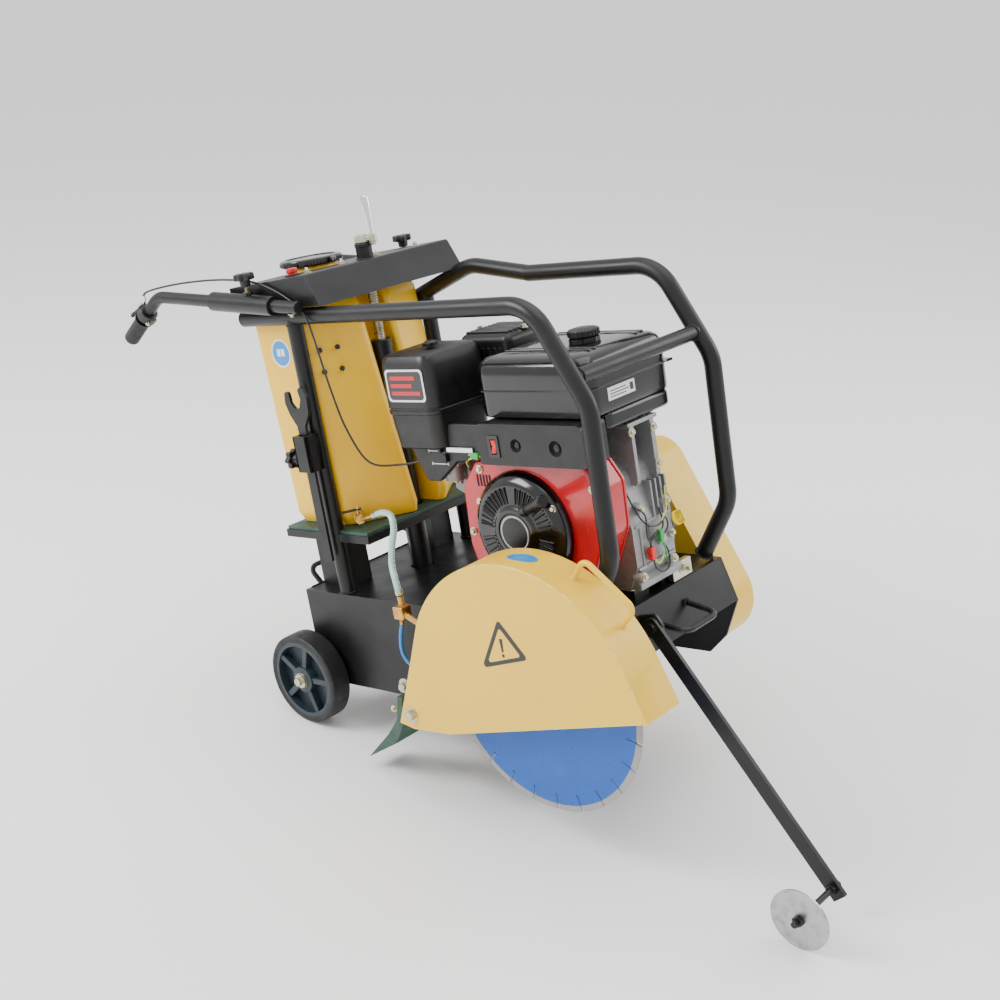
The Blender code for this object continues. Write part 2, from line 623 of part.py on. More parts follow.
def guard_fittings():
    """Splash flap and water manifold, both carried by the guard."""
    flap = [(0.3410, 0.028), (0.3540, 0.028), (0.3435, -0.030), (0.3095, -0.080), (0.2165, -0.126),
            (0.2915, -0.062), (0.3265, -0.024)]
    plate("splash_flap", flap, -0.300, -0.236, RUBBER)
    block = box("water_manifold", (0.3300, -0.262, 0.176), (0.3580, -0.234, 0.204), BRASS, 0.003)
    spout = rod("manifold_spout", (0.344, -0.246, 0.19), (0.344, -0.246, 0.222), 0.0065, None, 12)
    lower = rod("manifold_barb", (0.338, -0.246, 0.19), (0.334, -0.246, 0.162), 0.0050, None, 12)
    nipple = rod("manifold_nipple", (0.350, -0.250, 0.186), (0.4292, -0.250, 0.1536), 0.0060, None, 12)
    return join(block, spout, lower, nipple)


def smooth(points, per_span):
    """A smooth curve through the given points."""
    pts = [Vector(p) for p in points]
    pts = [2 * pts[0] - pts[1], *pts, 2 * pts[-1] - pts[-2]]
    out = []
    for i in range(1, len(pts) - 2):
        a, b, c, d = pts[i - 1:i + 3]
        for k in range(per_span):
            t = k / per_span
            out.append(0.5 * (2 * b + (c - a) * t + (2 * a - 5 * b + 4 * c - d) * t ** 2
                              + (3 * b - a - 3 * c + d) * t ** 3))
    out.append(pts[-2])
    return [tuple(p) for p in out]


# ---- water system ----
TANK_FLOOR = 0.3285
TANK_TOP = 0.797
TANK_HALF = 0.171


def water_tank():
    """Blow-moulded tank whose front bulges to both sides of the lift sleeve, with a filler neck."""
    half_front = mirrored([(-0.022, TANK_HALF), (0.138, TANK_HALF), (0.240, 0.034), (0.126, 0.034)])
    radii = [0.012, 0.022, 0.010, 0.006]
    outline = fillet(half_front, radii + radii[::-1], 3)
    tank = solid(slab("water_tank", outline, TANK_FLOOR, TANK_TOP, YELLOW_PLASTIC))
    height = TANK_TOP - TANK_FLOOR
    for vertex in tank.data.vertices:
        rise = (vertex.co.z + height / 2) / height
        forward = max(0.0, vertex.co.x - 0.126)
        vertex.co.x -= rise * (0.020 + forward * 0.55)
    neck = rod("tank_neck", (0.020, -0.030, TANK_TOP - 0.02), (0.020, -0.030, 0.8600), 0.0560, None, 32)
    join(tank, neck)
    cap = [(0.0, 0.017), (0.060, 0.017), (0.067, 0.012), (0.067, 0.002), (0.0575, GAP), (0.0, GAP)]
    lathe("tank_cap", cap, (0.020, -0.030, 0.8600), (0, 0, 0), BLACK_PLASTIC, 40)
    return tank


def post_holes():
    """Cutters for the two places where the rear posts pass the tray and the mat."""
    return [rod("post_hole", (POST_U, v, 0.28), (POST_U, v, 0.35), TUBE_R + 0.001, None, 20)
            for v in (-TUBE_V, TUBE_V)]


def tank_carrier():
    """Tray with raised edges on two stands, and the rubber mat that the tank sits on."""
    ring = mirrored([(-0.034, 0.198), (0.225, 0.198)])
    hole = circle((LIFT_U, 0), 0.026, 24)
    tray = slab("tank_tray", ring, 0.3040, 0.3200, BLACK_PAINT, [hole])
    tray = solid(tray)
    cut(tray, box("tray_well", (-0.031, -0.195, 0.3070), (0.222, 0.195, 0.34), None), *post_holes())
    sheet = mirrored([(-0.030, 0.1945), (0.2215, 0.1945)])
    mat = solid(slab("tank_mat", sheet, 0.3070 + GAP, 0.3270, RUBBER, [hole]))
    cut(mat, *post_holes())
    stands = [box("tank_stand", (0.010, v - 0.030, HULL_TOP + GAP), (0.100, v + 0.030, 0.3055), None)
              for v in (-0.130, 0.130)]
    return join(tray, *stands)


def valve_and_hose():
    """Brass outlet valve with a lever, and the hose down to the guard's manifold."""
    start = Vector((0.1565, -0.1530, 0.350))
    along = Vector((0.800, -0.600, 0.02)).normalized()
    body = rod("outlet_valve", start, start + along * 0.050, 0.0085, BRASS, 16)
    elbow = start + along * 0.043
    mouth = Vector((0.2330, -0.1800, 0.3610))
    foot = start + along * 0.022
    stem = rod("valve_stem", foot, foot + Vector((0, 0, 0.0150)), 0.0045, None, 12)
    join(body, rod("valve_barb", elbow, mouth, 0.0050, None, 12), stem)
    hinge = start + along * 0.022 + Vector((0, 0, 0.0153))
    box("valve_lever", hinge + Vector((-0.036, -0.0055, 0)), hinge + Vector((0.007, 0.0055, 0.0035)),
        BLACK_PLASTIC, 0.001, at=hinge, turn=(0, 0, math.radians(60)))
    line = [(0.2352, -0.1800, 0.3618), (0.268, -0.183, 0.371), (0.297, -0.189, 0.368),
            (0.311, -0.200, 0.345), (0.313, -0.215, 0.313), (0.320, -0.230, 0.280), (0.337, -0.243, 0.250),
            (0.3442, -0.246, 0.2238)]
    pipe("water_hose", smooth(line, 4), 0.0068, HOSE, 2)


# ---- engine ----
def engine_block():
    """Crankcase with its side cover, crank boss, oil filler and sloping cylinder head."""
    case = fillet([(0.500, 0.2083), (0.775, 0.2083), (0.800, 0.255), (0.800, 0.330), (0.778, 0.430),
                   (0.715, 0.490), (0.575, 0.490), (0.500, 0.420)],
                  (0.004, 0.012, 0.02, 0.03, 0.03, 0.03, 0.02, 0.02), 3)
    block = solid(plate("engine_block", case, -0.0585, 0.0620, CAST_ALUMINIUM))
    lid = fillet([(0.520, 0.222), (0.758, 0.222), (0.782, 0.262), (0.782, 0.330), (0.758, 0.412),
                  (0.700, 0.462), (0.590, 0.462), (0.520, 0.400)], 0.03, 4)
    cover = plate("crankcase_cover", lid, 0.0600, 0.0880, None)
    boss = across("cover_boss", CRANK, 0.080, 0.1772, 0.036, None, 24)
    filler = rod("oil_filler", (0.745, 0.078, 0.286), (0.800, 0.078, 0.310), 0.0135, None, 16)
    side = fillet([(0.352, 0.388), (0.5050, 0.323), (0.5050, 0.426), (0.522, 0.452), (0.412, 0.500)], 0.006,
                  2)
    head = plate("cylinder_head", side, -0.050, 0.060, None)
    join(block, cover, boss, filler, head)
    lathe("dipstick", [(0.0, 0.020), (0.007, 0.020), (0.013, 0.012), (0.0145, 0.0), (0.0, 0.0)],
          (0.8003, 0.078, 0.3104), (0, math.radians(66.4), 0), YELLOW_CAP, 16)


def blower():
    """Red fan housing with the ribbed recoil starter cover and its pull handle."""
    shell = fillet([(0.470, 0.228), (0.530, 0.2095), (0.690, 0.2095), (0.755, 0.255), (0.797, 0.340),
                    (0.800, 0.430), (0.770, 0.475), (0.500, 0.475), (0.455, 0.420), (0.450, 0.300)],
                   (0.03, 0.03, 0.04, 0.05, 0.05, 0.03, 0.02, 0.02, 0.04, 0.05), 4)
    plate("blower_housing", shell, -0.1330, -0.0590, RED_PAINT)
    profile = [(0.0, 0.0345), (0.046, 0.0345), (0.052, 0.031), (0.096, 0.028), (0.110, 0.018), (0.115, 0.0),
               (0.0, 0.0)]
    lathe("recoil_cover", profile, (CRANK[0], -0.1333, CRANK[1]), ACROSS, GLOSS_BLACK, 40)
    start = Vector((0.652, -0.1760, 0.3970))
    along = Vector((0.075, -0.026, 0.032)).normalized()
    rod("recoil_handle", start + along * 0.012, start + along * 0.078, 0.010, BLACK_PLASTIC, 12, 0.0125)


def upper_engine():
    """Tank, control panel, air cleaner, carburettor and muffler."""
    face = fillet([(0.545, 0.4755), (0.800, 0.4755), (0.800, 0.556), (0.545, 0.556)],
                  (0.006, 0.006, 0.012, 0.012), 2)
    hole = [(0.5790, 0.4975), (0.5910, 0.4975), (0.5910, 0.5265), (0.5790, 0.5265)]
    plate("control_panel", face, -0.1600, -0.0900, BLACK_PLASTIC, [hole])
    box("engine_switch", (0.5794, -0.1640, 0.4989), (0.5906, -0.1450, 0.5251), RED_PLASTIC, 0.0015,
        at=(0.585, -0.1555, 0.512))
    tank = box("fuel_tank", (0.5280, -0.1300, 0.5570), (0.8050, 0.1250, 0.6750), GLOSS_BLACK, 0.022)
    lower = box("tank_lower", (0.5400, -0.0880, 0.5260), (0.8050, 0.1120, 0.6000), None, 0.012)
    neck = rod("filler_neck", (0.690, 0.020, 0.660), (0.690, 0.020, 0.6800), 0.024, None, 20)
    join(tank, lower, neck)
    cap = [(0.0, 0.016), (0.028, 0.016), (0.031, 0.013), (0.031, 0.0), (0.0, 0.0)]
    lathe("fuel_cap", cap, (0.690, 0.020, 0.6803), (0, 0, 0), BLACK_PLASTIC, 24)
    case = [(0.312, -0.168), (0.452, -0.168), (0.464, -0.010), (0.312, -0.010)]
    cleaner = solid(slab("air_cleaner", fillet(case, 0.026, 4), 0.5010, 0.6880, BLACK_PLASTIC))
    rounding = cleaner.modifiers.new("rounding", "BEVEL")
    rounding.width = 0.012
    rounding.segments = 2
    rounding.limit_method = "ANGLE"
    rounding.angle_limit = math.radians(60)
    knob = [(0.0, 0.014), (0.013, 0.014), (0.016, 0.010), (0.016, 0.004), (0.007, 0.0), (0.0, 0.0)]
    lathe("cleaner_knob", knob, (0.395, -0.092, 0.6883), (0, 0, 0), BLACK_PLASTIC, 16)
    carb = box("carburettor", (0.372, -0.118, 0.4550), (0.440, -0.062, 0.5007), CAST_ALUMINIUM, 0.004)
    join(carb, rod("float_bowl", (0.400, -0.090, 0.420), (0.400, -0.090, 0.460), 0.021, None, 20))
    box("choke_lever", (0.436, -0.1250, 0.4860), (0.505, -0.1185, 0.4950), CHROME, 0.001,
        at=(0.440, -0.122, 0.4905))
    box("muffler", (0.3800, 0.0000, 0.5300), (0.5150, 0.1250, 0.6950), BLACK_PAINT, 0.010)


# ---- handlebars and controls ----
def on_bar(side, distance, offset=0.0):
    """A point of a handlebar's straight part, measured back from the sleeve's front end."""
    start = SLEEVE_FRONT + Vector((0, side * SLEEVE_V, 0))
    back = Vector((-math.cos(BAR_TILT), 0, math.sin(BAR_TILT)))
    rise = Vector((math.sin(BAR_TILT), 0, math.cos(BAR_TILT)))
    return start + back * distance + rise * offset


def handlebars():
    """Sliding handlebars with rubber grips, each locked by a star knob."""
    for label, side in (("right", -1), ("left", 1)):
        bend = on_bar(side, 0.385)
        drop = Vector((-math.cos(math.radians(33)), 0, -math.sin(math.radians(33))))
        end = bend + drop * 0.160
        line = fillet([tuple(on_bar(side, -0.072)), tuple(bend), tuple(end)], 0.060, 6, closed=False)
        pipe("handlebar_" + label, line, BAR_R, BLACK_PAINT)
        grip = rod("grip_" + label, bend + drop * 0.086, end + drop * 0.006, 0.0170, BLACK_PLASTIC, 20)
        cut(grip, rod("grip_bore", bend + drop * 0.080, end + drop * GAP, BAR_R + GAP, None, 20))
        knob_at = on_bar(side, 0.078, SLEEVE_R + GAP)
        star_knob("handle_knob_" + label, knob_at, (0, 0, 1), KNOB_SCREW)


def star_knob(name, at, axis, screw):
    """A seven-lobed clamp knob on a short screw, its origin at the screw's foot."""
    turn = Vector((0, 0, 1)).rotation_difference(Vector(axis)).to_euler()
    lobes = [(0.0195 + 0.0022 * math.cos(7 * a), a) for a in (2 * math.pi * k / 42 for k in range(42))]
    data = curve_data(name, [[(r * math.cos(a), r * math.sin(a)) for r, a in lobes]], True, "2D")
    data.fill_mode = "BOTH"
    data.extrude = 0.0065
    star = place(name, data, BLACK_PLASTIC, at, turn)
    star = solid(star)
    star.data.transform(Matrix.Translation((0, 0, screw + 0.0200)))
    stem = solid_rod(name + "_stem", star, 0.0, screw + 0.006, 0.0040)
    neck = solid_rod(name + "_neck", star, screw, screw + 0.016, 0.0105)
    return join(star, neck, stem)


def solid_rod(name, beside, low, high, radius):
    """A cylinder along another object's own Z axis."""
    def build(bm):
        bmesh.ops.create_cone(bm, cap_ends=True, segments=16, radius1=radius, radius2=radius,
                              depth=high - low, matrix=Matrix.Translation((0, 0, (low + high) / 2)))

    return place(name, mesh_of(build), None, beside.location, beside.rotation_euler)


def throttle():
    """Thumb throttle on the right handlebar, and its cable along the console and tank to the carburettor."""
    bend = on_bar(-1, 0.385)
    drop = Vector((-math.cos(math.radians(33)), 0, -math.sin(math.radians(33))))
    rise = Vector((-drop.z, 0, drop.x)) * -1
    seat = bend + drop * 0.055
    clamp = rod("throttle_clamp", seat, seat + drop * 0.022, 0.0200, BLACK_PLASTIC, 20)
    cut(clamp, rod("clamp_bore", seat - drop * 0.01, seat + drop * 0.03, BAR_R + GAP, None, 20))
    pivot = seat + drop * 0.011 + rise * 0.0206
    lever = rod("throttle_lever", pivot, pivot + rise * 0.009, 0.0110, STEEL, 16)
    arm = rod("lever_arm", pivot + rise * 0.0045, pivot + rise * 0.010 + drop * 0.050, 0.0042, None, 10)
    join(lever, arm)
    inlet = pivot + rise * 0.003 - drop * 0.0125
    line = [tuple(inlet), tuple(inlet - drop * 0.022 + rise * 0.010), (-0.230, -0.222, 0.8640),
            (-0.131, -0.214, 0.8675), (-0.040, -0.212, 0.8655), (0.036, -0.2115, 0.8580),
            (0.097, -0.2110, 0.8400), (0.150, -0.2110, 0.8130), (0.177, -0.2100, 0.7900),
            (0.190, -0.208, 0.750), (0.199, -0.196, 0.629), (0.206, -0.180, 0.540), (0.230, -0.158, 0.4680),
            (0.285, -0.125, 0.4560), (0.340, -0.103, 0.4620), (0.3695, -0.100, 0.4690)]
    pipe("throttle_cable", smooth(line, 4), 0.0022, BLACK_PLASTIC, 2)
    low, high = STOP_SWITCH
    box("stop_switch", low, high, RED_PLASTIC, 0.002)
    return clamp


# ---- tools and guide ----
def spanner():
    """Open-ended spanner in the socket on the right rear post, held by a star knob."""
    line = [(-0.012, -0.235), (0.012, -0.235), (0.012, 0.055), (0.031, 0.085), (0.034, 0.118),
            (0.022, 0.140), (0.010, 0.132), (0.014, 0.112), (0.006, 0.094), (-0.008, 0.092), (-0.018, 0.104),
            (-0.020, 0.126), (-0.032, 0.128), (-0.036, 0.104), (-0.028, 0.080), (-0.012, 0.055)]
    outline = [(u + SPANNER_U, w + 0.505) for u, w in fillet(line, 0.004, 2)]
    plate("spanner", outline, SPANNER_V - 0.0050, SPANNER_V + 0.0020, BLACK_PAINT)
    star_knob("holder_knob", (SPANNER_U - 0.0203, SPANNER_V - 0.002, 0.4900), (-1, 0, 0), 0.008)


def guide_end():
    """The guide disc's axis in u, w: at the arm's length from its pivot, with the disc on the ground."""
    pivot_z = GUIDE_PIVOT[0] * math.sin(PITCH) + GUIDE_PIVOT[1] * math.cos(PITCH)
    fall = math.asin((pivot_z + REAR_WHEEL_R - GUIDE_DISC_R) / GUIDE_ARM_L)
    angle = -fall - PITCH
    return (*turned_about(GUIDE_PIVOT, GUIDE_ARM_L, 0.0, angle), angle)


def guide():
    """Swing-down sight: a flat arm on a bracket at the nose, with a steel disc on a long bolt."""
    end_u, end_w, angle = guide_end()
    tip = GUIDE_ARM_L + 0.022
    ends = fillet([(-0.018, -0.015), (tip, -0.015), (tip, 0.015), (-0.018, 0.015)],
                  (0.012, 0.001, 0.001, 0.012), 3)
    outline = [turned_about(GUIDE_PIVOT, x, y, angle) for x, y in ends]
    arm = solid(plate("guide_arm", outline, GUIDE_V - 0.004, GUIDE_V + 0.004, BLACK_PAINT, at=GUIDE_PIVOT))
    pin = across("pivot_bolt", GUIDE_PIVOT, GUIDE_V - 0.0100, GUIDE_V + 0.0170, 0.0056, None, 16)
    head = across("pivot_head", GUIDE_PIVOT, GUIDE_V - 0.0120, GUIDE_V - 0.0035, 0.010, None, 16)
    nut = across("pivot_nut", GUIDE_PIVOT, GUIDE_V + 0.0107, GUIDE_V + 0.0180, 0.010, None, 16)
    bolt = across("guide_bolt", (end_u, end_w), GUIDE_DISC_V - 0.020, GUIDE_V + 0.0160, 0.0060, None, 16)
    nuts = [across("bolt_nut", (end_u, end_w), GUIDE_V + a, GUIDE_V + b, 0.0105, None, 6)
            for a, b in ((-0.0130, -0.0035), (0.0035, 0.0120))]
    nuts += [across("bolt_nut", (end_u, end_w), GUIDE_DISC_V + a, GUIDE_DISC_V + b, 0.0105, None, 6)
             for a, b in ((0.0025, 0.0100), (-0.0100, -0.0025))]
    join(arm, pin, head, nut, bolt, *nuts)
    steps = 40
    rim, spin = turned_to_ground(GUIDE_DISC_R, steps)
    profile = [(rim, 0.0018), (rim, -0.0018), (0.0064, -0.0018), (0.0064, 0.0018), (rim, 0.0018)]
    lathe("guide_disc", profile, (end_u, GUIDE_DISC_V, end_w), ACROSS, STEEL, steps, spin)


base_frame()
roll_frame()
console()
handle_sleeves()
wheels()
rear_axle()
swing_frame()
lift()
arbor_housing()
arbor()
engine_output()
belt_cover()
blade_guard()
guard_fittings()
water_tank()
tank_carrier()
valve_and_hose()
engine_block()
blower()
upper_engine()
handlebars()
throttle()
spanner()
guide()
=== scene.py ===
"""The looks of the walk-behind concrete saw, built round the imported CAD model.

Shapes are drawn in the chassis frame, as in part.py: u runs forward, v to the left and w up, from the
middle of the rear axle, and CHASSIS turns that frame into the row's own.
"""

import json
import math
import random

import bmesh
import bpy
from mathutils import Matrix, Vector


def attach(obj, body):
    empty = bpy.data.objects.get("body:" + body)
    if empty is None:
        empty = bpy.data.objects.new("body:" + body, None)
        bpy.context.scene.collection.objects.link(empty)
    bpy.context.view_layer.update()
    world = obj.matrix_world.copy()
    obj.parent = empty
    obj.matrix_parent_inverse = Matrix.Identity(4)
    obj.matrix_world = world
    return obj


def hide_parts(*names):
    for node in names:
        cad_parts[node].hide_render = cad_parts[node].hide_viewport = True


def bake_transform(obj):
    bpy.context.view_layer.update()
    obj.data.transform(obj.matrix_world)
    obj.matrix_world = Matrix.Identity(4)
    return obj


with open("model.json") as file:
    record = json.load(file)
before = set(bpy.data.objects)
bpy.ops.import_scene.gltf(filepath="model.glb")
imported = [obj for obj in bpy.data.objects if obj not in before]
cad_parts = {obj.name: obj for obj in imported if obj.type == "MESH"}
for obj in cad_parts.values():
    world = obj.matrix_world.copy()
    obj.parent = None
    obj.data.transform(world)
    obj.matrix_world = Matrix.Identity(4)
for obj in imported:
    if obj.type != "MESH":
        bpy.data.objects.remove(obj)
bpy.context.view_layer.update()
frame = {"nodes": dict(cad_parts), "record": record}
random.seed(7)

# ---- driving dimensions, in metres and degrees, as in part.py ----
PITCH = math.radians(12.5)
ORIGIN = Vector((-0.3401, 0.0, 0.100))
CHASSIS = Matrix.Translation(ORIGIN) @ Matrix.Rotation(-PITCH, 4, "Y")

REAR_WHEEL_HALF = 0.025
TRACK_HALF = 0.241
FRONT_TRACK_HALF = 0.100
FRONT_AXLE = Matrix.Rotation(PITCH, 4, "Y") @ Vector((0.550, 0.0, -0.025))

TUBE_R = 0.017
TUBE_V = 0.189
RAIL_W = 0.779
POST_U = 0.120

SHAFT = (0.701, 0.073)
CRANK = (0.608, 0.345)
BLADE_R = 0.230
BLADE_T = 0.0032
BLADE_V = -0.269
SLOTS = 24
RIM = 0.011                        # height of the diamond segments

GUARD_C = (0.693, 0.067)
GUARD_R = 0.275
GUARD_FRONT_V = -0.316
GUARD_BACK_V = -0.222
GUARD_PIVOT = (0.392, 0.004)

BELT_COVER_V = (0.2085, 0.316)
BELT_COVER_LOW_R = 0.092
BELT_COVER_TOP_R = 0.060

LIFT_U = 0.262 + 0.110 * math.cos(math.radians(163))
BUSH_TOP = 0.893

SLEEVE_V = 0.227
SLEEVE_FRONT = Vector((0.114, 0.0, 0.8085))
BAR_TILT = math.radians(5.0)
BAR_R = 0.013
GRIP_DROP = Vector((-math.cos(math.radians(33)), 0, -math.sin(math.radians(33))))
GRIP_RISE = Vector((GRIP_DROP.z, 0, -GRIP_DROP.x))

TANK_FLOOR = 0.3285
TANK_TOP = 0.797
TANK_HALF = 0.171

U, V, W = Vector((1, 0, 0)), Vector((0, 1, 0)), Vector((0, 0, 1))


# ---- materials ----
class Paint:
    """A Principled material and the helpers that add detail to it."""

    def __init__(self, name, colour, roughness, metallic=0.0, **more):
        self.mat = bpy.data.materials.new(name)
        self.mat.use_nodes = True
        self.tree = self.mat.node_tree
        self.shader = self.tree.nodes["Principled BSDF"]
        self.colour = (*colour, 1.0)
        self.shader.inputs["Base Color"].default_value = self.colour
        self.shader.inputs["Roughness"].default_value = roughness
        self.shader.inputs["Metallic"].default_value = metallic
        for key, value in more.items():
            self.shader.inputs[key.replace("_", " ")].default_value = value
        self.last_colour = None
        self.last_normal = None
        self.coords = self.tree.nodes.new("ShaderNodeTexCoord")

    def node(self, kind, **values):
        made = self.tree.nodes.new(kind)
        for key, value in values.items():
            setattr(made, key, value)
        return made

    def link(self, output, target):
        self.tree.links.new(output, target)

    def noise(self, scale, detail=3.0, rough=0.55, stretch=(1, 1, 1)):
        """A noise value between 0 and 1, its scale in features per metre."""
        mapping = self.node("ShaderNodeMapping")
        mapping.inputs["Scale"].default_value = stretch
        self.link(self.coords.outputs["Object"], mapping.inputs["Vector"])
        made = self.node("ShaderNodeTexNoise")
        made.inputs["Scale"].default_value = scale
        made.inputs["Detail"].default_value = detail
        made.inputs["Roughness"].default_value = rough
        self.link(mapping.outputs["Vector"], made.inputs["Vector"])
        return made.outputs["Fac"]

    def ramp(self, value, low, high, start=0.0, end=1.0):
        """A value stretched from low..high to start..end and clamped."""
        made = self.node("ShaderNodeMapRange")
        for key, number in (("From Min", low), ("From Max", high), ("To Min", start), ("To Max", end)):
            made.inputs[key].default_value = number
        self.link(value, made.inputs["Value"])
        return made.outputs["Result"]

    def times(self, a, b):
        made = self.node("ShaderNodeMath", operation="MULTIPLY")
        self.link(a, made.inputs[0])
        self.link(b, made.inputs[1])
        return made.outputs["Value"]

    def edges(self, radius, sharp=0.10):
        """A mask that is 1 along sharp edges: where the rounded normal leaves the true one."""
        bevel = self.node("ShaderNodeBevel", samples=4)
        bevel.inputs["Radius"].default_value = radius
        geometry = self.node("ShaderNodeNewGeometry")
        dot = self.node("ShaderNodeVectorMath", operation="DOT_PRODUCT")
        self.link(bevel.outputs["Normal"], dot.inputs[0])
        self.link(geometry.outputs["Normal"], dot.inputs[1])
        return self.ramp(dot.outputs["Value"], 1.0 - sharp, 1.0 - sharp * 0.3, 1.0, 0.0)

    def tint(self, mask, colour):
        """Mix a second colour in where a mask is 1."""
        mix = self.node("ShaderNodeMix", data_type="RGBA")
        mix.inputs["A"].default_value = self.colour
        mix.inputs["B"].default_value = (*colour, 1.0)
        self.link(mask, mix.inputs["Factor"])
        if self.last_colour:
            self.link(self.last_colour, mix.inputs["A"])
        self.last_colour = mix.outputs["Result"]
        self.link(self.last_colour, self.shader.inputs["Base Color"])
        return self

    def rough(self, value, low, high):
        self.link(self.ramp(value, 0.3, 0.7, low, high), self.shader.inputs["Roughness"])
        return self

    def bump(self, height, distance, strength=1.0):
        made = self.node("ShaderNodeBump")
        made.inputs["Distance"].default_value = distance
        made.inputs["Strength"].default_value = strength
        self.link(height, made.inputs["Height"])
        if self.last_normal:
            self.link(self.last_normal, made.inputs["Normal"])
        self.last_normal = made.outputs["Normal"]
        self.link(self.last_normal, self.shader.inputs["Normal"])
        return self


def black_paint():
    """Satin powder coat: fine orange peel, faint dust, edges rubbed a little lighter."""
    p = Paint("black_powder_coat", (0.0045, 0.0047, 0.0055), 0.36, Specular_IOR_Level=0.38)
    p.bump(p.noise(1400, 2), 0.00012, 0.5)
    p.tint(p.ramp(p.noise(9, 5), 0.52, 0.85), (0.011, 0.0115, 0.013))
    p.tint(p.times(p.edges(0.0025), p.ramp(p.noise(60, 4), 0.35, 0.65)), (0.040, 0.041, 0.044))
    return p.rough(p.noise(14, 4), 0.30, 0.46).mat


def yellow_paint():
    """Gloss powder coat: soft orange peel, dirt in broad patches, pale chips along the edges."""
    p = Paint("yellow_powder_coat", (0.830, 0.520, 0.022), 0.38, Coat_Weight=0.12, Coat_Roughness=0.2)
    p.bump(p.noise(700, 2), 0.00015, 0.35)
    p.tint(p.ramp(p.noise(5, 4), 0.45, 0.80, 0.0, 0.5), (0.760, 0.450, 0.018))
    p.tint(p.ramp(p.noise(130, 6, 0.7), 0.70, 0.76, 0.0, 0.35), (0.460, 0.290, 0.060))
    chips = p.times(p.edges(0.0018, 0.06), p.ramp(p.noise(160, 5), 0.50, 0.58))
    p.tint(chips, (0.820, 0.720, 0.480))
    return p.rough(p.noise(22, 4), 0.30, 0.46).mat


def tank_plastic():
    """Moulded polyethylene: deep yellow, waxy, with a faint pebbled surface."""
    p = Paint("moulded_yellow", (0.900, 0.530, 0.010), 0.34, Subsurface_Weight=0.10, Subsurface_Scale=0.02)
    p.shader.inputs["Subsurface Radius"].default_value = (1.0, 0.5, 0.1)
    p.bump(p.noise(420, 3), 0.00025, 0.5)
    p.bump(p.noise(11, 2), 0.004, 0.25)
    p.tint(p.ramp(p.noise(6, 3), 0.4, 0.75, 0.0, 0.5), (0.820, 0.440, 0.008))
    return p.rough(p.noise(30, 4), 0.28, 0.44).mat


def black_plastic(name="satin_black_plastic", level=0.0045, low=0.32, high=0.48):
    """Moulded black plastic with a fine grain and grey handling marks on its edges."""
    p = Paint(name, (level, level, level * 1.05), 0.42)
    p.bump(p.noise(1100, 3), 0.00016, 0.6)
    p.tint(p.times(p.edges(0.0016), p.ramp(p.noise(90, 4), 0.42, 0.62)), (0.034, 0.034, 0.036))
    return p.rough(p.noise(35, 4), low, high).mat


def gloss_black():
    """Deep gloss enamel with soft waviness and a little dust."""
    p = Paint("gloss_black", (0.002, 0.002, 0.0024), 0.14, Specular_IOR_Level=0.45, Coat_Weight=0.3,
              Coat_Roughness=0.04)
    p.bump(p.noise(18, 2), 0.0012, 0.12)
    p.tint(p.ramp(p.noise(240, 6, 0.8), 0.68, 0.82, 0.0, 0.20), (0.030, 0.030, 0.030))
    return p.rough(p.noise(26, 5), 0.08, 0.24).mat


def red_paint():
    """Glossy red enamel."""
    p = Paint("red_enamel", (0.520, 0.008, 0.016), 0.22, Coat_Weight=0.5, Coat_Roughness=0.08)
    p.bump(p.noise(320, 2), 0.0002, 0.3)
    p.tint(p.ramp(p.noise(12, 4), 0.45, 0.8, 0.0, 0.5), (0.340, 0.005, 0.010))
    p.tint(p.times(p.edges(0.0016), p.ramp(p.noise(140, 4), 0.48, 0.60)), (0.640, 0.120, 0.110))
    return p.rough(p.noise(24, 4), 0.14, 0.32).mat


def red_plastic():
    p = Paint("red_plastic", (0.640, 0.010, 0.010), 0.28)
    p.bump(p.noise(900, 2), 0.0001, 0.5)
    return p.rough(p.noise(60, 3), 0.22, 0.36).mat


def metal(name, colour, low, high, grain=900, stretch=(1, 1, 1), stain=None, depth=0.0001):
    """Bare or plated metal with a directional grain and optional staining."""
    p = Paint(name, colour, low, 1.0)
    p.bump(p.noise(grain, 3, 0.6, stretch), depth, 0.5)
    if stain:
        p.tint(p.ramp(p.noise(45, 5, 0.65), 0.48, 0.72), stain)
    return p.rough(p.noise(70, 4), low, high).mat


def cast_metal():
    """Sand-cast aluminium: coarse dull grain, oil shadows in patches, edges polished by handling."""
    p = Paint("cast_aluminium", (0.330, 0.333, 0.340), 0.5, 0.80)
    p.bump(p.noise(520, 5, 0.7), 0.0005, 0.7)
    p.tint(p.ramp(p.noise(22, 5, 0.65), 0.50, 0.80, 0.0, 0.8), (0.170, 0.165, 0.160))
    p.tint(p.edges(0.002), (0.640, 0.640, 0.640))
    return p.rough(p.noise(120, 4), 0.40, 0.62).mat


def tyre_rubber():
    """Black tread: dull, with fine scuffs and pale dust."""
    p = Paint("tread_rubber", (0.006, 0.006, 0.0065), 0.6)
    p.bump(p.noise(600, 5, 0.7), 0.0004, 0.8)
    p.tint(p.ramp(p.noise(38, 6, 0.7), 0.52, 0.80, 0.0, 0.6), (0.030, 0.029, 0.028))
    return p.rough(p.noise(50, 4), 0.48, 0.72).mat


def hub_plastic():
    p = Paint("hub_nylon", (0.010, 0.020, 0.028), 0.42)
    p.bump(p.noise(500, 4), 0.0003, 0.6)
    p.tint(p.times(p.edges(0.002), p.ramp(p.noise(80, 4), 0.40, 0.65)), (0.085, 0.100, 0.110))
    return p.rough(p.noise(40, 4), 0.36, 0.54).mat


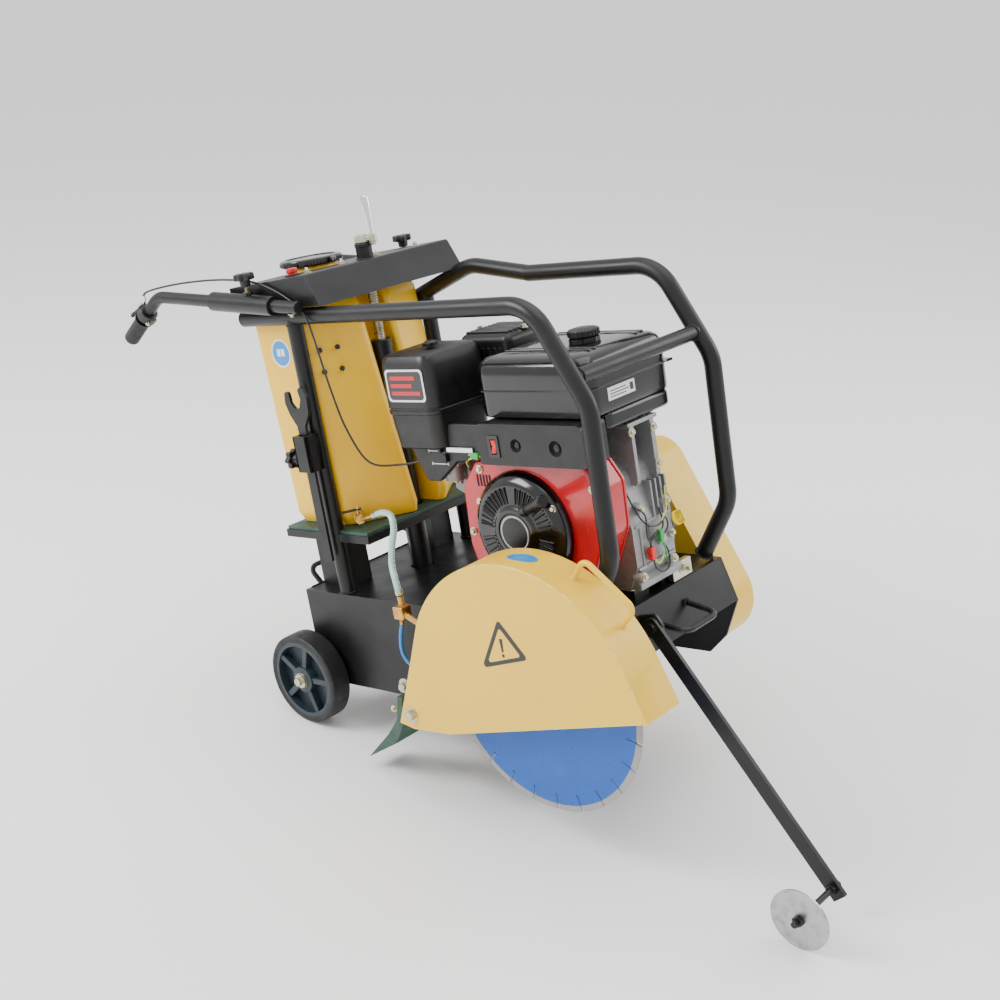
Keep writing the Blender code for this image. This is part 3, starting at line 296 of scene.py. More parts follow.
def green_rubber():
    p = Paint("green_rubber", (0.018, 0.060, 0.038), 0.6)
    p.bump(p.noise(480, 5, 0.7), 0.0004, 0.8)
    p.tint(p.ramp(p.noise(30, 5), 0.45, 0.75), (0.040, 0.085, 0.065))
    return p.rough(p.noise(50, 4), 0.45, 0.66).mat


def blade_lacquer():
    """Blue lacquer on a turned steel core, with fine rings round the arbor."""
    p = Paint("blade_blue", (0.008, 0.085, 0.380), 0.34, 0.25)
    centre = CHASSIS @ Vector((SHAFT[0], BLADE_V, SHAFT[1]))
    away = p.node("ShaderNodeVectorMath", operation="DISTANCE")
    away.inputs[1].default_value = centre
    geometry = p.node("ShaderNodeTexCoord")
    p.link(geometry.outputs["Object"], away.inputs[0])
    rings = p.node("ShaderNodeMath", operation="SINE")
    scale = p.node("ShaderNodeMath", operation="MULTIPLY")
    scale.inputs[1].default_value = 9000.0
    p.link(away.outputs["Value"], scale.inputs[0])
    p.link(scale.outputs["Value"], rings.inputs[0])
    p.bump(rings.outputs["Value"], 0.00003, 0.4)
    p.tint(p.ramp(p.noise(16, 4), 0.45, 0.8, 0.0, 0.5), (0.014, 0.120, 0.460))
    return p.rough(p.noise(60, 4), 0.26, 0.42).mat


def diamond():
    """Sintered segments: sandy grey grit."""
    p = Paint("diamond_segment", (0.360, 0.355, 0.345), 0.55, 0.5)
    p.bump(p.noise(2600, 3, 0.7), 0.0003, 0.9)
    p.tint(p.ramp(p.noise(900, 4), 0.45, 0.7), (0.180, 0.175, 0.168))
    return p.mat


def braided_hose():
    """Clear teal hose with a white yarn lattice under its wall."""
    p = Paint("braided_hose", (0.230, 0.560, 0.520), 0.16, Transmission_Weight=0.25, Coat_Weight=0.4)
    waves = []
    for turn in (0.7, -0.7):
        mapping = p.node("ShaderNodeMapping")
        mapping.inputs["Rotation"].default_value = (0.3, turn, 0.2)
        p.link(p.coords.outputs["Object"], mapping.inputs["Vector"])
        wave = p.node("ShaderNodeTexWave", wave_type="BANDS", bands_direction="Z")
        wave.inputs["Scale"].default_value = 95.0
        p.link(mapping.outputs["Vector"], wave.inputs["Vector"])
        waves.append(p.ramp(wave.outputs["Fac"], 0.82, 0.95))
    for wave in waves:
        p.tint(wave, (0.780, 0.900, 0.870))
    return p.mat


def tube_blue():
    p = Paint("blue_tube", (0.010, 0.210, 0.640), 0.20, Transmission_Weight=0.2, Coat_Weight=0.5)
    p.bump(p.noise(200, 2), 0.0002, 0.3)
    return p.rough(p.noise(60, 2), 0.12, 0.28).mat


def plain(name, colour, roughness=0.4, metallic=0.0):
    """Ink, film, wire or painted shade: one colour with a fine print grain."""
    p = Paint(name, colour, roughness, metallic)
    p.bump(p.noise(1600, 2), 0.00004, 0.4)
    p.tint(p.ramp(p.noise(70, 4), 0.5, 0.8, 0.0, 0.4), tuple(c * 0.8 for c in colour))
    return p.mat


M = {
    "black_paint": black_paint(),
    "yellow_paint": yellow_paint(),
    "yellow_plastic": tank_plastic(),
    "black_plastic": black_plastic(),
    "gloss_black": gloss_black(),
    "red_paint": red_paint(),
    "red_plastic": red_plastic(),
    "cast_aluminium": cast_metal(),
    "steel": metal("machined_steel", (0.46, 0.46, 0.47), 0.24, 0.42, 700, (1, 6, 1), (0.30, 0.29, 0.28)),
    "zinc": metal("zinc_plate", (0.60, 0.57, 0.44), 0.22, 0.38, 500, (1, 1, 1), (0.42, 0.36, 0.22)),
    "chrome": metal("chrome", (0.78, 0.78, 0.79), 0.05, 0.14, 300, (1, 1, 1)),
    "brass": metal("brass", (0.66, 0.40, 0.11), 0.24, 0.42, 600, (1, 1, 1), (0.42, 0.22, 0.06)),
    "tyre_rubber": tyre_rubber(),
    "hub_nylon": hub_plastic(),
    "rubber": green_rubber(),
    "blade_steel": blade_lacquer(),
    "segment": diamond(),
    "hose": braided_hose(),
    "tube_blue": tube_blue(),
    "yellow_cap": plain("yellow_cap", (0.830, 0.620, 0.010), 0.3),
    "white_film": plain("white_film", (0.780, 0.790, 0.790), 0.35),
    "blue_film": plain("blue_film", (0.015, 0.230, 0.560), 0.3),
    "black_film": plain("black_film", (0.012, 0.012, 0.012), 0.3),
    "grey_film": plain("grey_film", (0.030, 0.030, 0.033), 0.4),
    "red_film": plain("red_film", (0.560, 0.010, 0.016), 0.3),
    "green_wire": plain("green_wire", (0.020, 0.360, 0.060), 0.35),
    "yellow_wire": plain("yellow_wire", (0.620, 0.660, 0.060), 0.35),
    "black_wire": plain("black_wire", (0.014, 0.014, 0.015), 0.4),
    # painted shade: a flat near-black laid into vents, slots and wells where shadow would fall
    "painted_shade": plain("shadowed_black", (0.004, 0.004, 0.004), 0.8),
    "weld": metal("weld_bead", (0.05, 0.05, 0.055), 0.35, 0.5, 250, (1, 1, 1), None, 0.0006),
}


# ---- outlines ----
def arc(centre, radius, start, end, steps):
    """Points on a circle from one angle to another, in degrees."""
    angles = [math.radians(start + (end - start) * i / steps) for i in range(steps + 1)]
    return [(centre[0] + radius * math.cos(a), centre[1] + radius * math.sin(a)) for a in angles]


def circle(centre, radius, steps=48):
    return arc(centre, radius, 0, 360, steps)[:-1]


def fillet(points, radius, steps=6, closed=True):
    """Round the corners of a line of 2D or 3D points, with one radius or one per corner."""
    pts = [Vector((*p, 0.0)) if len(p) == 2 else Vector(p) for p in points]
    radii = list(radius) if hasattr(radius, "__len__") else [radius] * len(pts)
    out = []
    for i, corner in enumerate(pts):
        if not closed and i in (0, len(pts) - 1) or radii[i] == 0:
            out.append(corner)
            continue
        before = (pts[i - 1] - corner).normalized()
        after = (pts[(i + 1) % len(pts)] - corner).normalized()
        opening = before.angle(after)
        if opening > math.pi - 0.01:
            out.append(corner)
            continue
        reach = radii[i] / math.tan(opening / 2)
        middle = corner + (before + after).normalized() * radii[i] / math.sin(opening / 2)
        first, last = corner + before * reach - middle, corner + after * reach - middle
        turn = first.angle(last)
        for k in range(steps + 1):
            t = k / steps
            out.append(middle + (first * math.sin((1 - t) * turn) + last * math.sin(t * turn))
                       / math.sin(turn))
    return [tuple(p) for p in out] if len(points[0]) == 3 else [(p.x, p.y) for p in out]


def smooth(points, per_span):
    """A smooth curve through the given points."""
    pts = [Vector(p) for p in points]
    pts = [2 * pts[0] - pts[1], *pts, 2 * pts[-1] - pts[-2]]
    out = []
    for i in range(1, len(pts) - 2):
        a, b, c, d = pts[i - 1:i + 3]
        for k in range(per_span):
            t = k / per_span
            out.append(0.5 * (2 * b + (c - a) * t + (2 * a - 5 * b + 4 * c - d) * t ** 2
                              + (3 * b - a - 3 * c + d) * t ** 3))
    out.append(pts[-2])
    return [tuple(p) for p in out]


def two_circle_outline(low, low_r, top, top_r, steps=24):
    a, b = Vector(low), Vector(top)
    along = math.degrees(math.atan2(b.y - a.y, b.x - a.x))
    side = 90 - math.degrees(math.asin((low_r - top_r) / (b - a).length))
    return (arc(top, top_r, along - side, along + side, steps)
            + arc(low, low_r, along + side, along + 360 - side, steps + 12))


def mirrored(points):
    return points + [(u, -v) for u, v in reversed(points)]


# ---- pieces ----
def finish_piece(name, data, mat, body, at=None, replaces=(), angle=32, slot=None):
    """Place mesh data, drawn in the chassis frame or round a local frame, as a piece on a CAD body."""
    obj = bpy.data.objects.new(name, data)
    bpy.context.scene.collection.objects.link(obj)
    data.shade_smooth()
    data.set_sharp_from_angle(angle=math.radians(angle))
    if not data.materials:
        data.materials.append(M[mat])
    data.transform(CHASSIS if at is None else CHASSIS @ at)
    if body:
        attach(obj, body)
    if replaces:
        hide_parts(*replaces)
    return obj


def mesh_of(build):
    bm = bmesh.new()
    build(bm)
    bmesh.ops.recalc_face_normals(bm, faces=bm.faces)
    data = bpy.data.meshes.new("shape")
    bm.to_mesh(data)
    bm.free()
    return data


def rounded(obj, width, segments=3, angle=35):
    """Round a piece's sharp edges."""
    step = obj.modifiers.new("rounding", "BEVEL")
    step.width = width
    step.segments = segments
    step.limit_method = "ANGLE"
    step.angle_limit = math.radians(angle)
    step.harden_normals = True
    return obj


def extrude_loops(bm, loops, place):
    """Fill an outline with holes and give it thickness; place maps (x, y, side) to a point."""
    edges, rings = [], []
    for loop in loops:
        ring = [bm.verts.new(place(x, y, 0)) for x, y in loop]
        rings.append(ring)
        edges += [bm.edges.new((a, b)) for a, b in zip(ring, ring[1:] + ring[:1])]
    if len(loops) == 1:
        bm.faces.new(rings[0])
        low = list(bm.faces)
    else:
        low = bmesh.ops.triangle_fill(bm, edges=edges, use_beauty=True)["geom"]
        low = [g for g in low if isinstance(g, bmesh.types.BMFace)]
    partner = {}
    for loop, ring in zip(loops, rings):
        for (x, y), v in zip(loop, ring):
            partner[v] = bm.verts.new(place(x, y, 1))
    for face in low:
        bm.faces.new([partner[v] for v in face.verts])
    for ring in rings:
        for a, b in zip(ring, ring[1:] + ring[:1]):
            bm.faces.new((a, b, partner[b], partner[a]))


def prism(name, outline, v0, v1, mat, body, holes=(), **more):
    """A sheet between two v planes, its outline in u, w."""
    data = mesh_of(lambda bm: extrude_loops(bm, [outline, *holes], lambda x, y, s: (x, v1 if s else v0, y)))
    return finish_piece(name, data, mat, body, **more)


def slab(name, outline, w0, w1, mat, body, holes=(), **more):
    """A sheet between two heights, its outline in u, v."""
    data = mesh_of(lambda bm: extrude_loops(bm, [outline, *holes], lambda x, y, s: (x, y, w1 if s else w0)))
    return finish_piece(name, data, mat, body, **more)


def frame_at(point, axis, twist=0.0):
    """A frame whose Z axis points along an axis."""
    turn = W.rotation_difference(Vector(axis)).to_matrix().to_4x4()
    return Matrix.Translation(Vector(point)) @ turn @ Matrix.Rotation(twist, 4, "Z")


def add_turned(bm, profile, at, steps=32):
    """Revolve a profile of (radius, height) about a frame's Z axis, closing its ends on the axis."""
    rings = []
    for r, z in profile:
        if r < 1e-7:
            rings.append([bm.verts.new(at @ Vector((0, 0, z)))])
        else:
            rings.append([bm.verts.new(at @ Vector((r * math.cos(2 * math.pi * k / steps),
                                                    r * math.sin(2 * math.pi * k / steps), z)))
                          for k in range(steps)])
    for a, b in zip(rings, rings[1:]):
        for k in range(steps):
            n = (k + 1) % steps
            corners = [a[k % len(a)], a[n % len(a)], b[n % len(b)], b[k % len(b)]]
            unique = list(dict.fromkeys(corners))
            if len(unique) > 2:
                bm.faces.new(unique)


def turned(name, profile, at, mat, body, steps=48, **more):
    return finish_piece(name, mesh_of(lambda bm: add_turned(bm, profile, at, steps)), mat, body, **more)


def add_box(bm, low, high, at=Matrix.Identity(4)):
    low, high = Vector(low), Vector(high)
    bmesh.ops.create_cube(bm, size=1.0, matrix=at @ Matrix.Translation((low + high) / 2)
                          @ Matrix.Diagonal((*(high - low), 1.0)))


def block(name, low, high, mat, body, bevel=0.002, at=Matrix.Identity(4), segments=3, **more):
    obj = finish_piece(name, mesh_of(lambda bm: add_box(bm, low, high, at)), mat, body, **more)
    return rounded(obj, bevel, segments) if bevel else obj


def add_tube(bm, points, radius, sides=20):
    """A round bar along a line of points, with flat ends; radius may be one number or one per point."""
    pts = [Vector(p) for p in points]
    radii = radius if hasattr(radius, "__len__") else [radius] * len(pts)
    tangent = (pts[1] - pts[0]).normalized()
    side = tangent.orthogonal().normalized()
    rings = []
    for i, p in enumerate(pts):
        ahead = (pts[min(i + 1, len(pts) - 1)] - pts[max(i - 1, 0)]).normalized()
        side = (side - ahead * side.dot(ahead)).normalized()
        up = ahead.cross(side)
        rings.append([bm.verts.new(p + (side * math.cos(a) + up * math.sin(a)) * radii[i])
                      for a in (2 * math.pi * k / sides for k in range(sides))])
    for a, b in zip(rings, rings[1:]):
        for k in range(sides):
            n = (k + 1) % sides
            bm.faces.new((a[k], a[n], b[n], b[k]))
    bm.faces.new(rings[0][::-1])
    bm.faces.new(rings[-1])


def tube(name, points, radius, mat, body, sides=24, **more):
    return finish_piece(name, mesh_of(lambda bm: add_tube(bm, points, radius, sides)), mat, body, **more)


def add_hex(bm, at, across, height, washer=True):
    """A hexagon head with a chamfered top on a washer, standing on a frame's XY plane."""
    r = across / math.sqrt(3)
    base = 0.0
    if washer:
        base = 0.0016
        add_turned(bm, [(0, 0), (across * 0.92, 0), (across * 0.92, base), (0, base)], at, 24)
    ring = [(r, base), (r, base + height * 0.86), (r * 0.88, base + height), (0, base + height)]
    add_turned(bm, [(0, base), *ring], at, 6)


def bolts(name, body, heads, mat="zinc", stud=0.0):
    """Hexagon heads at (point, axis, width across flats), as one piece, with optional thread ends."""
    def build(bm):
        for point, axis, across in heads:
            at = frame_at(point, axis, random.uniform(0, 1))
            add_hex(bm, at, across, across * 0.55)
            if stud:
                top = 0.0016 + across * 0.55
                add_turned(bm, [(0, top), (across * 0.30, top), (across * 0.30, top + stud),
                                (across * 0.24, top + stud + 0.001), (0, top + stud + 0.001)], at, 16)

    return finish_piece(name, mesh_of(build), mat, body)


def welds(name, body, rings):
    """Beads of lumpy weld round tube joints: each ring is (centre, axis, radius)."""
    def build(bm):
        for centre, axis, radius in rings:
            at = frame_at(centre, axis)
            count = max(12, int(radius * 2 * math.pi / 0.0035))
            for k in range(count):
                a = 2 * math.pi * k / count
                spot = at @ Vector((radius * math.cos(a), radius * math.sin(a),
                                    random.uniform(-0.0004, 0.0004)))
                bmesh.ops.create_icosphere(bm, subdivisions=1, radius=random.uniform(0.0021, 0.0027),
                                           matrix=Matrix.Translation(spot))

    return finish_piece(name, mesh_of(build), "black_paint", body, angle=80)


# ---- running gear ----
def add_spokes(bm, at, inner, outer, count, wide, v0, v1):
    """Flat ribs between a hub and a rim."""
    for k in range(count):
        spun = at @ Matrix.Rotation(2 * math.pi * k / count, 4, "Z")
        add_box(bm, (inner, -wide / 2, v0), (outer, wide / 2, v1), spun)


def rear_wheel(label, side):
    """Black tread with bevelled shoulders on a nylon hub with five broad ribs."""
    body = "wheel_rear_" + label
    at = frame_at((0, side * TRACK_HALF, 0), (0, side, 0))
    half = REAR_WHEEL_HALF
    groove = [(0.0865, half - 0.0010), (0.0900, half - 0.0004), (0.0945, half), (0.0975, half - 0.0012),
              (0.0995, half - 0.0036), (0.1000, half - 0.0075)]
    profile = groove + [(r, -z) for r, z in reversed(groove)] + [(0.0845, 0.002 - half),
                                                                 (0.0845, half - 0.002)]
    profile.append(profile[0])
    tyre = turned("tyre_rear_" + label, profile, at, "tyre_rubber", body, 96, replaces=[body])
    hub_profile = [(0.0850, half - 0.0015), (0.0850, 0.0015 - half), (0.0770, 0.0015 - half),
                   (0.0745, -0.004),
                   (0.0330, -0.004), (0.0300, -half), (0.0115, -half), (0.0115, half + 0.0004),
                   (0.0215, half + 0.0004),
                   (0.0285, half - 0.0015), (0.0320, 0.004), (0.0745, 0.004), (0.0770, half - 0.0015),
                   (0.0850, half - 0.0015)]
    hub = turned("hub_rear_" + label, hub_profile, at, "hub_nylon", body, 72, slot="tyre_rubber")
    ribs = finish_piece("hub_ribs_" + label, mesh_of(lambda bm: add_spokes(bm, at, 0.026, 0.0790, 5, 0.013,
                                                                         -half + 0.004, half - 0.004)),
                        "hub_nylon", body, slot="tyre_rubber")
    rounded(ribs, 0.0016)
    cap = turned("hub_washer_" + label,
                 [(0, 0.0), (0.0165, 0.0), (0.0165, 0.0018), (0.0105, 0.0018), (0.0105, 0.0042),
                                         (0.0085, 0.0052), (0, 0.0052)],
                 at @ Matrix.Translation((0, 0, half + 0.0006)), "zinc", body, 32)
    return tyre, hub, ribs, cap


def front_wheel(label, side):
    body = "wheel_front_" + label
    at = frame_at((FRONT_AXLE.x, side * FRONT_TRACK_HALF, FRONT_AXLE.z), (0, side, 0))
    half = 0.0225
    profile = [(0.0115, half), (0.022, half), (0.026, half - 0.006), (0.056, half - 0.006),
               (0.060, half - 0.001), (0.069, half), (0.0740, half - 0.003), (0.0750, half - 0.007)]
    profile = profile + [(r, -z) for r, z in reversed(profile)] + [profile[0]]
    return turned("roller_" + body, profile, at, "tyre_rubber", body, 72, replaces=[body])


def axle_nuts():
    """Yellow-plated nuts that show at the rear hubs."""
    for label, side in (("right", -1), ("left", 1)):
        bolts("axle_nut_" + label, "chassis",
              [((0, side * (TRACK_HALF + REAR_WHEEL_HALF + 0.0048), 0), (0, side, 0),
                                              0.017)])


# ---- tubes ----
def roll_frame():
    """Right and left bent tubes, cross tube, brace and posts, with weld beads where they meet."""
    for label, v in (("right", -TUBE_V), ("left", TUBE_V)):
        rear_u = -0.034 if v < 0 else 0.4262
        line = [(rear_u, v, RAIL_W), (0.754, v, RAIL_W), (0.852, v, 0.600), (0.848, v, 0.315),
                (0.7715, v, 0.1985)]
        extra = {"replaces": ["roll_frame"]} if v < 0 else {}
        tube("roll_tube_" + label, fillet(line, 0.085, 10, closed=False), TUBE_R, "black_paint", "chassis",
             28, **extra)
    brace = [(0.4300, TUBE_V, RAIL_W), (0.27, TUBE_V, 0.805), (0.155, TUBE_V, 0.765), (0.010, TUBE_V, 0.715)]
    tube("brace_tube", fillet(brace, 0.10, 8, closed=False), TUBE_R - 0.0003, "black_paint", "chassis", 28)
    tube("cross_tube", [(0.8257, -0.180, 0.648), (0.8257, 0.180, 0.648)], 0.0145, "black_paint", "chassis",
         28)
    for label, v, top in (("right", -TUBE_V, RAIL_W), ("left", TUBE_V, 0.750)):
        tube("rear_post_" + label, [(POST_U, v, 0.1885), (POST_U, v, top)], TUBE_R - 0.0002, "black_paint",
             "chassis", 28)
    turned("rail_plug_right", [(0, 0), (0.0172, 0), (0.0172, 0.0022), (0.0150, 0.0040), (0, 0.0048)],
           frame_at((-0.034, -TUBE_V, RAIL_W), (-1, 0, 0)), "black_plastic", "chassis", 32)
    welds("tube_welds", "chassis", [
        ((POST_U, -TUBE_V, 0.1895), W, TUBE_R + 0.0006), ((POST_U, TUBE_V, 0.1895), W, TUBE_R + 0.0006),
        ((POST_U, -TUBE_V, RAIL_W - TUBE_R + 0.001), W, TUBE_R - 0.001),
        ((0.8257, -TUBE_V + TUBE_R - 0.001, 0.648), V, 0.0150),
                                    ((0.8257, TUBE_V - TUBE_R + 0.001, 0.648), V, 0.0150),
        ((0.7725, -TUBE_V, 0.2000), (0.55, 0, 0.84), TUBE_R + 0.0004),
        ((0.7725, TUBE_V, 0.2000), (0.55, 0, 0.84), TUBE_R + 0.0004)])
    v_out, v_in = -0.2425, -0.2040
    for name, low, high in (("socket_outer", (0.105, v_out, 0.466), (0.145, v_out + 0.0085, 0.542)),
                            ("socket_inner", (0.105, -0.2190, 0.466), (0.145, v_in, 0.542)),
                            ("socket_rear", (0.105, v_out, 0.466), (0.1103, v_in, 0.542)),
                            ("socket_front", (0.1397, v_out, 0.466), (0.145, v_in, 0.542))):
        block(name, low, high, "black_paint", "chassis", 0.0012)


def sleeves_and_bars():
    """Handlebar sleeves as open tubes, the sliding bars, and ribbed grips."""
    back = Vector((-math.cos(BAR_TILT), 0, math.sin(BAR_TILT)))
    for label, side in (("right", -1), ("left", 1)):
        start = SLEEVE_FRONT + V * side * SLEEVE_V
        at = frame_at(start, back)
        wall = [(0.0138, 0.0), (0.0188, 0.0), (0.0200, 0.0012), (0.0200, 0.1908), (0.0188, 0.192),
                (0.0138, 0.192), (0.0138, 0.0)]
        turned("sleeve_" + label, wall, at, "black_paint", "chassis", 40,
               replaces=["handle_sleeve_" + label])
        boss = [(0, 0.0), (0.0105, 0.0), (0.0105, 0.0062), (0.0095, 0.0072), (0, 0.0072)]
        rise = Vector((math.sin(BAR_TILT), 0, math.cos(BAR_TILT)))
        turned("sleeve_nut_" + label, boss, frame_at(start + back * 0.078 + rise * 0.0165, rise),
               "black_paint", "chassis", 6)
        bend = start + back * 0.385
        end = bend + GRIP_DROP * 0.160
        line = fillet([tuple(start - back * 0.072), tuple(bend), tuple(end)], 0.060, 10, closed=False)
        body = "handlebar_" + label
        tube("bar_" + label, line, BAR_R, "black_paint", body, 28, replaces=[body])
        turned("bar_plug_" + label, [(0, 0), (0.0132, 0), (0.0132, 0.0016), (0.0115, 0.0030), (0, 0.0034)],
               frame_at(start - back * 0.072, -back), "black_plastic", body, 28)
        grip(label, bend, body)
        bolts("bar_stop_" + label, body, [(start - back * 0.052 - rise * 0.0128, -rise, 0.009)])


def grip(label, bend, body):
    """Rubber grip with a flange, fine rings and a domed end."""
    at = frame_at(bend + GRIP_DROP * 0.086, GRIP_DROP)
    profile = [(0.0136, 0.0), (0.0200, 0.0), (0.0206, 0.0015), (0.0200, 0.0035), (0.0172, 0.0050)]
    z = 0.007
    while z < 0.070:
        profile += [(0.0170, z), (0.0161, z + 0.0008), (0.0161, z + 0.0022), (0.0170, z + 0.0030)]
        z += 0.0048
    profile += [(0.0170, 0.0735), (0.0160, 0.0775), (0.0125, 0.0797), (0, 0.0800)]
    turned("grip_rings_" + label, profile, at, "black_plastic", body, 40, replaces=["grip_" + label],
           angle=40)


def star_knob(name, at, screw):
    """Seven-lobed clamp knob: domed star, neck and threaded screw, on its CAD body of the same name."""
    def build(bm):
        lobes = 7
        around = 84
        rings = []
        top = screw + 0.0265
        for grow, z in ((0.78, screw + 0.0125), (0.95, screw + 0.0132), (1.0, screw + 0.0150),
                        (1.0, top - 0.0030), (0.95, top - 0.0008), (0.84, top), (0.40, top - 0.0004)):
            rings.append([bm.verts.new(at @ Vector((r * math.cos(a), r * math.sin(a), z)))
                          for a, r in ((a, grow * (0.0192 + 0.0024 * math.cos(lobes * a)))
                                       for a in (2 * math.pi * k / around for k in range(around)))])
        for a, b in zip(rings, rings[1:]):
            for k in range(around):
                n = (k + 1) % around
                bm.faces.new((a[k], a[n], b[n], b[k]))
        bm.faces.new(rings[0][::-1])
        bm.faces.new(rings[-1])
        add_turned(bm, [(0, screw), (0.0090, screw), (0.0105, screw + 0.0015), (0.0115, screw + 0.0135),
                        (0, screw + 0.0135)], at, 32)

    star = finish_piece(name + "_star", mesh_of(build), "black_plastic", name, replaces=[name])
    thread = [(0, 0.0)]
    z = 0.0
    while z < screw:
        thread += [(0.0040, z), (0.0034, z + 0.0005)]
        z += 0.0010
    turned(name + "_screw", thread + [(0.0040, screw), (0, screw)], at, "zinc", name, 20)
    return star


def knobs():
    back = Vector((-math.cos(BAR_TILT), 0, math.sin(BAR_TILT)))
    rise = Vector((math.sin(BAR_TILT), 0, math.cos(BAR_TILT)))
    for label, side in (("right", -1), ("left", 1)):
        foot = SLEEVE_FRONT + V * side * SLEEVE_V + back * 0.078 + rise * 0.0203
        star_knob("handle_knob_" + label, frame_at(foot, W, 0.3 * side), 0.016)
    star_knob("holder_knob", frame_at((0.1047, -0.2265, 0.490), -U, 0.2), 0.008)


def throttle():
    """Clamp with a serrated disc and a thumb lever, and the cable that leaves it."""
    body = "handlebar_right"
    back = Vector((-math.cos(BAR_TILT), 0, math.sin(BAR_TILT)))
    bend = SLEEVE_FRONT - V * SLEEVE_V + back * 0.385
    seat = bend + GRIP_DROP * 0.055
    band = [(0.0134, 0), (0.0190, 0), (0.0200, 0.0010), (0.0200, 0.0210), (0.0190, 0.0220), (0.0134, 0.0220),
            (0.0134, 0)]
    turned("throttle_band", band, frame_at(seat, GRIP_DROP), "black_plastic", body, 40,
           replaces=["throttle_clamp"])
    ears = frame_at(seat + GRIP_DROP * 0.011, GRIP_DROP)
    block("throttle_ear", (-0.0235, -0.007, -0.010), (-0.0130, 0.007, 0.010), "black_plastic", body, 0.0015,
          at=ears)
    bolts("throttle_screws", body, [(seat + GRIP_DROP * 0.011 - GRIP_RISE * 0.0180 + V * 0.0075, V, 0.006),
                                    (seat + GRIP_DROP * 0.0165 - GRIP_RISE * 0.0195 - V * 0.0075, -V,
                                     0.006)])
    pivot = seat + GRIP_DROP * 0.011 + GRIP_RISE * 0.0206
    at = frame_at(pivot, GRIP_RISE)
    turned("throttle_disc", [(0, 0), (0.0110, 0), (0.0118, 0.0008), (0.0118, 0.0034), (0.0100, 0.0045),
                             (0.0060, 0.0048),
                             (0.0060, 0.0075), (0, 0.0080)], at, "steel", "throttle_lever", 36,
           replaces=["throttle_lever"])
    arm = [pivot + GRIP_RISE * 0.0030, pivot + GRIP_RISE * 0.0050 + GRIP_DROP * 0.020,
           pivot + GRIP_RISE * 0.0090 + GRIP_DROP * 0.040, pivot + GRIP_RISE * 0.0100 + GRIP_DROP * 0.050]
    tube("throttle_thumb", [tuple(p) for p in smooth(arm, 4)], [0.0038] * 8 + [0.0046] * 5, "black_plastic",
         "throttle_lever", 16)
    wing = [pivot + GRIP_RISE * 0.004 - GRIP_DROP * 0.010, pivot + GRIP_RISE * 0.012 - GRIP_DROP * 0.026]
    tube("throttle_wing", [tuple(p) for p in wing], [0.0030, 0.0044], "chrome", "throttle_lever", 14)
    inlet = pivot + GRIP_RISE * 0.003 - GRIP_DROP * 0.0125
    route = [tuple(inlet), tuple(inlet - GRIP_DROP * 0.022 + GRIP_RISE * 0.010), (-0.230, -0.222, 0.8640),
             (-0.131, -0.214, 0.8675), (-0.040, -0.212, 0.8655), (0.036, -0.2115, 0.8580),
             (0.097, -0.2110, 0.8400),
             (0.150, -0.2110, 0.8130), (0.177, -0.2100, 0.7900), (0.190, -0.208, 0.750),
             (0.199, -0.196, 0.629),
             (0.206, -0.180, 0.540), (0.230, -0.158, 0.4680), (0.285, -0.125, 0.4560),
             (0.340, -0.103, 0.4620), (0.3695, -0.100, 0.4690)]
    cable = tube("throttle_line", smooth(route, 6), 0.0022, "black_wire", None, 14,
                 replaces=["throttle_cable"], slot="black_plastic")
    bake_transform(cable)
    turned("cable_ferrule", [(0, -0.004), (0.0034, -0.004), (0.0036, 0.0), (0.0036, 0.012), (0.0026, 0.015),
                             (0, 0.015)],
           frame_at(inlet, -GRIP_DROP + GRIP_RISE * 0.4), "chrome", body, 20)


